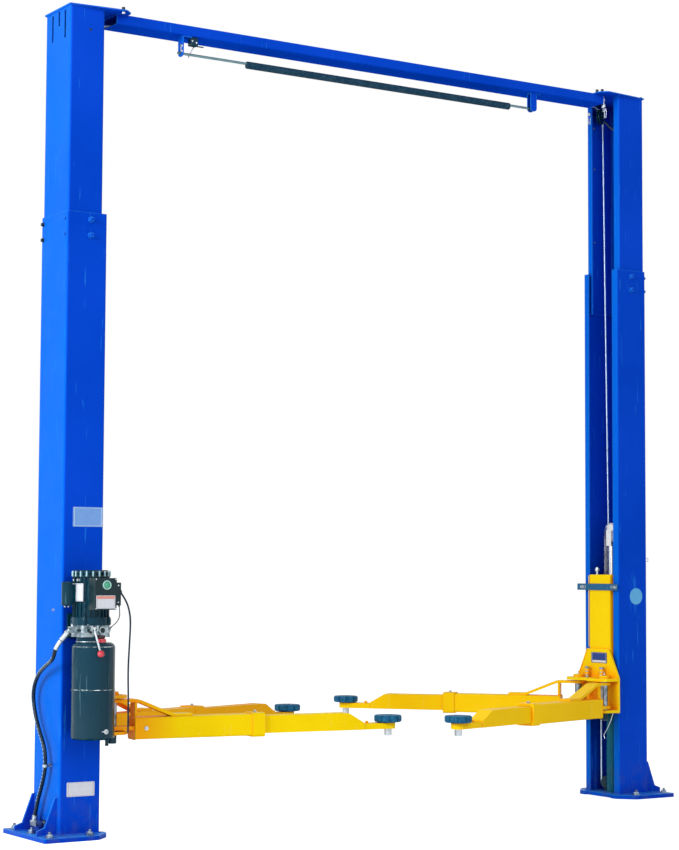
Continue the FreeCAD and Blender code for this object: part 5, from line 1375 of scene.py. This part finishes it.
drain_axis = (11, -85, 0)
drain_at = stepped(at_column(-1.625, -0.343, 0.492), drain_axis, 0.0218)
drain_shapes = [turned([(0.0090, -0.001), (0.0112, 0.000), (0.0112, 0.003), (0.0095, 0.004),
                        (0.0062, 0.004), (0.0058, 0.0005)], drain_at, drain_axis, 24)]
grip = stepped(drain_at, drain_axis, 0.002) + (-0.011, 0.0, 0.0)
pull = evenly([grip, grip + (-0.006, 0.0, 0.001), grip + (-0.010, 0.001, 0.0)], 0.002)[0]
drain_shapes.append(carried(pull, 0.0024, 8))
add_piece("drain_valve", drain_shapes, BRIGHT_STEEL)

lid_outline = rounded_rectangle(0.1064, 0.1364, 0.006, 5)
lid = pressed_plate(lid_outline, 0.0016, at_column(-1.6525, -0.4072, 1.101), TO_RIGHT, UP, ease=0.4)
add_piece("switch_lid", [lid], BLACK_PLASTIC)
box_screws = []
for x in (-1.7005, -1.6045):
    for z in (1.0365, 1.1655):
        box_screws.append(lathe([(3.4, 0), (3.4, 1.2), (2, 2), (0.8, 1.2)], (x, -0.4086, z),
                                TO_FRONT, 14))
for z in (1.064, 1.138):
    box_screws.append(lathe([(3.4, 0), (3.4, 1.2), (2, 2)], (-1.5870, -0.4001, z), TO_FRONT, 14))
add_piece("box_screws", box_screws, BRIGHT_STEEL)
run = np.array(lead_route[1]) - np.array(lead_route[0])
gland = [turned([(0.0090, -0.014), (0.0090, -0.007), (0.0072, -0.006), (0.0072, -0.001),
                 (0.0045, 0.0)], lead_route[0], run, 18)]
run = np.array(wire_route[1]) - np.array(wire_route[0])
gland.append(turned([(0.0050, -0.007), (0.0050, -0.002), (0.0024, 0.0)], wire_route[0], run, 14))
add_piece("cord_glands", gland, BLACK_PLASTIC)
print("tank, drain and switch box dressed")

# %% [markdown]
# Where the hose leaves the pump its rubber is held in a crimped ferrule: the press leaves
# even rings along the sleeve. The same ferrule ends the hose at the column's foot. The
# rings are a wave in the profile's radius, so one function makes both ends.

# %% Hose ends
def crimped(at, axis, radius, length, rings):
    """Sleeve whose radius dips once a ring: radius minus 0.7 mm times one plus the cosine."""
    height = np.linspace(0, length, rings * 8 + 1)
    wave = radius - 0.0007 * (1 + np.cos(2 * np.pi * rings * height / length))
    return turned(np.column_stack([wave, height]), at, axis, 20)


hose_start = np.array(hose_route[0])
start_axis = hose_start - np.array(hose_route[1])
hose_end = np.array(hose_route[-1])
end_axis = hose_end - np.array(hose_route[-2])
ends = [crimped(hose_start, start_axis, 0.0128, 0.034, 5),
        hexagon(stepped(hose_start, start_axis, 0.034), start_axis, 0.0250, 0.012),
        crimped(hose_end, end_axis, 0.0128, 0.026, 4),
        hexagon(stepped(hose_end, end_axis, 0.026), end_axis, 0.0250, 0.011)]
ends += bolt(at_column(-1.733, -0.242, 0.9535), UP, 0.013)
ends.append(lathe([(13.5, 0), (13.5, 3), (11, 4)], (-1.738, 0.018, 0.059), TO_LEFT, 20))
add_piece("hose_ends", ends, BRIGHT_STEEL)

clip_screws = bolt(at_column(-1.738, -0.053, 1.025), TO_LEFT, 0.009)
clip_screws += bolt(at_column(-1.7475, -0.0565, 0.3302), UP, 0.008)
add_piece("clip_screws", clip_screws, BRIGHT_STEEL)
print("hose ends:", len(ends), "shapes")

# %% [markdown]
# The shut-off bar is bright steel outside its foam sleeve. The limit switch reaches down beside
# it with a bent wire lever. A broken pale line runs along the lit side of the hose as a painted
# highlight, and a steel collar covers its first bend, where it leaves the pump.

# %% Shut-off bar, switch lever and painted highlight on the hose
BAR_STEEL = bare_metal("bar_steel", (0.17, 0.29, 0.32), (0.08, 0.14, 0.16), 0.28, (9, 1, 1), 0.006,
                       0.12)
bar_ends = [turned([(0.0040, 0), (0.0064, 0.002), (0.0064, end - start - 0.002),
                    (0.0040, end - start)], at_column(start, -0.070, 3.672), TO_RIGHT, 20)
            for start, end in ((-1.1405, -0.7565), (0.8495, 0.9800))]
add_piece("bar_ends", bar_ends, BAR_STEEL, "shut_off_bar_body")

switch_lever = [bent([(-1.046, -0.0590, 3.716), (-1.052, -0.0590, 3.706), (-1.064, -0.0590, 3.684),
                      (-1.076, -0.0590, 3.660)], 0.0030)]
for x, z in ((-1.068, 3.737), (-1.046, 3.731)):
    switch_lever.append(lathe([(5, 0), (4.5, 2), (2, 2.8)], (x, -0.0850, z), TO_FRONT, 14))
for z in (3.706, 3.681):
    switch_lever.append(lathe([(7.2, 0), (6.6, 3), (3, 4)], (-1.1250, -0.0862, z), TO_LEFT, 14))
add_piece("switch_lever_and_screws", switch_lever, BRIGHT_STEEL)

hose_line = evenly(spline_points(hose), 0.002)[0]
FIRST_BEND = slice(2, 26)
# The dashes run along the side of the hose that faces the left lamp: a painted highlight.
TO_HOSE_SURFACE = np.array((-0.0088, 0.0004, 0.0005))
glint_line = hose_line + TO_HOSE_SURFACE
DASH, DASH_AND_GAP, FIRST_DASH, PLAIN_END = 6, 9, 44, 30
HOSE_GLINT = moulded("hose_painted_glint", (0.36, 0.58, 0.80), (0.50, 0.66, 0.80), 0.45, 0.0016, 0.05, 0.10,
                     0.2)
dashes = [carried(glint_line[first:first + DASH], 0.0015, 6)
          for first in range(FIRST_DASH, len(glint_line) - PLAIN_END, DASH_AND_GAP)]
add_piece("hose_glint_dashes", dashes, HOSE_GLINT)
add_piece("hose_collar", [carried(hose_line[FIRST_BEND], 0.0102, 18)], BRIGHT_STEEL)
print("dashes on the hose:", len(dashes))

# %% [markdown]
# A plain view transform keeps each colour about as it was written.

# %% Finish
bpy.context.scene.view_settings.view_transform = "Standard"
bpy.context.view_layer.update()
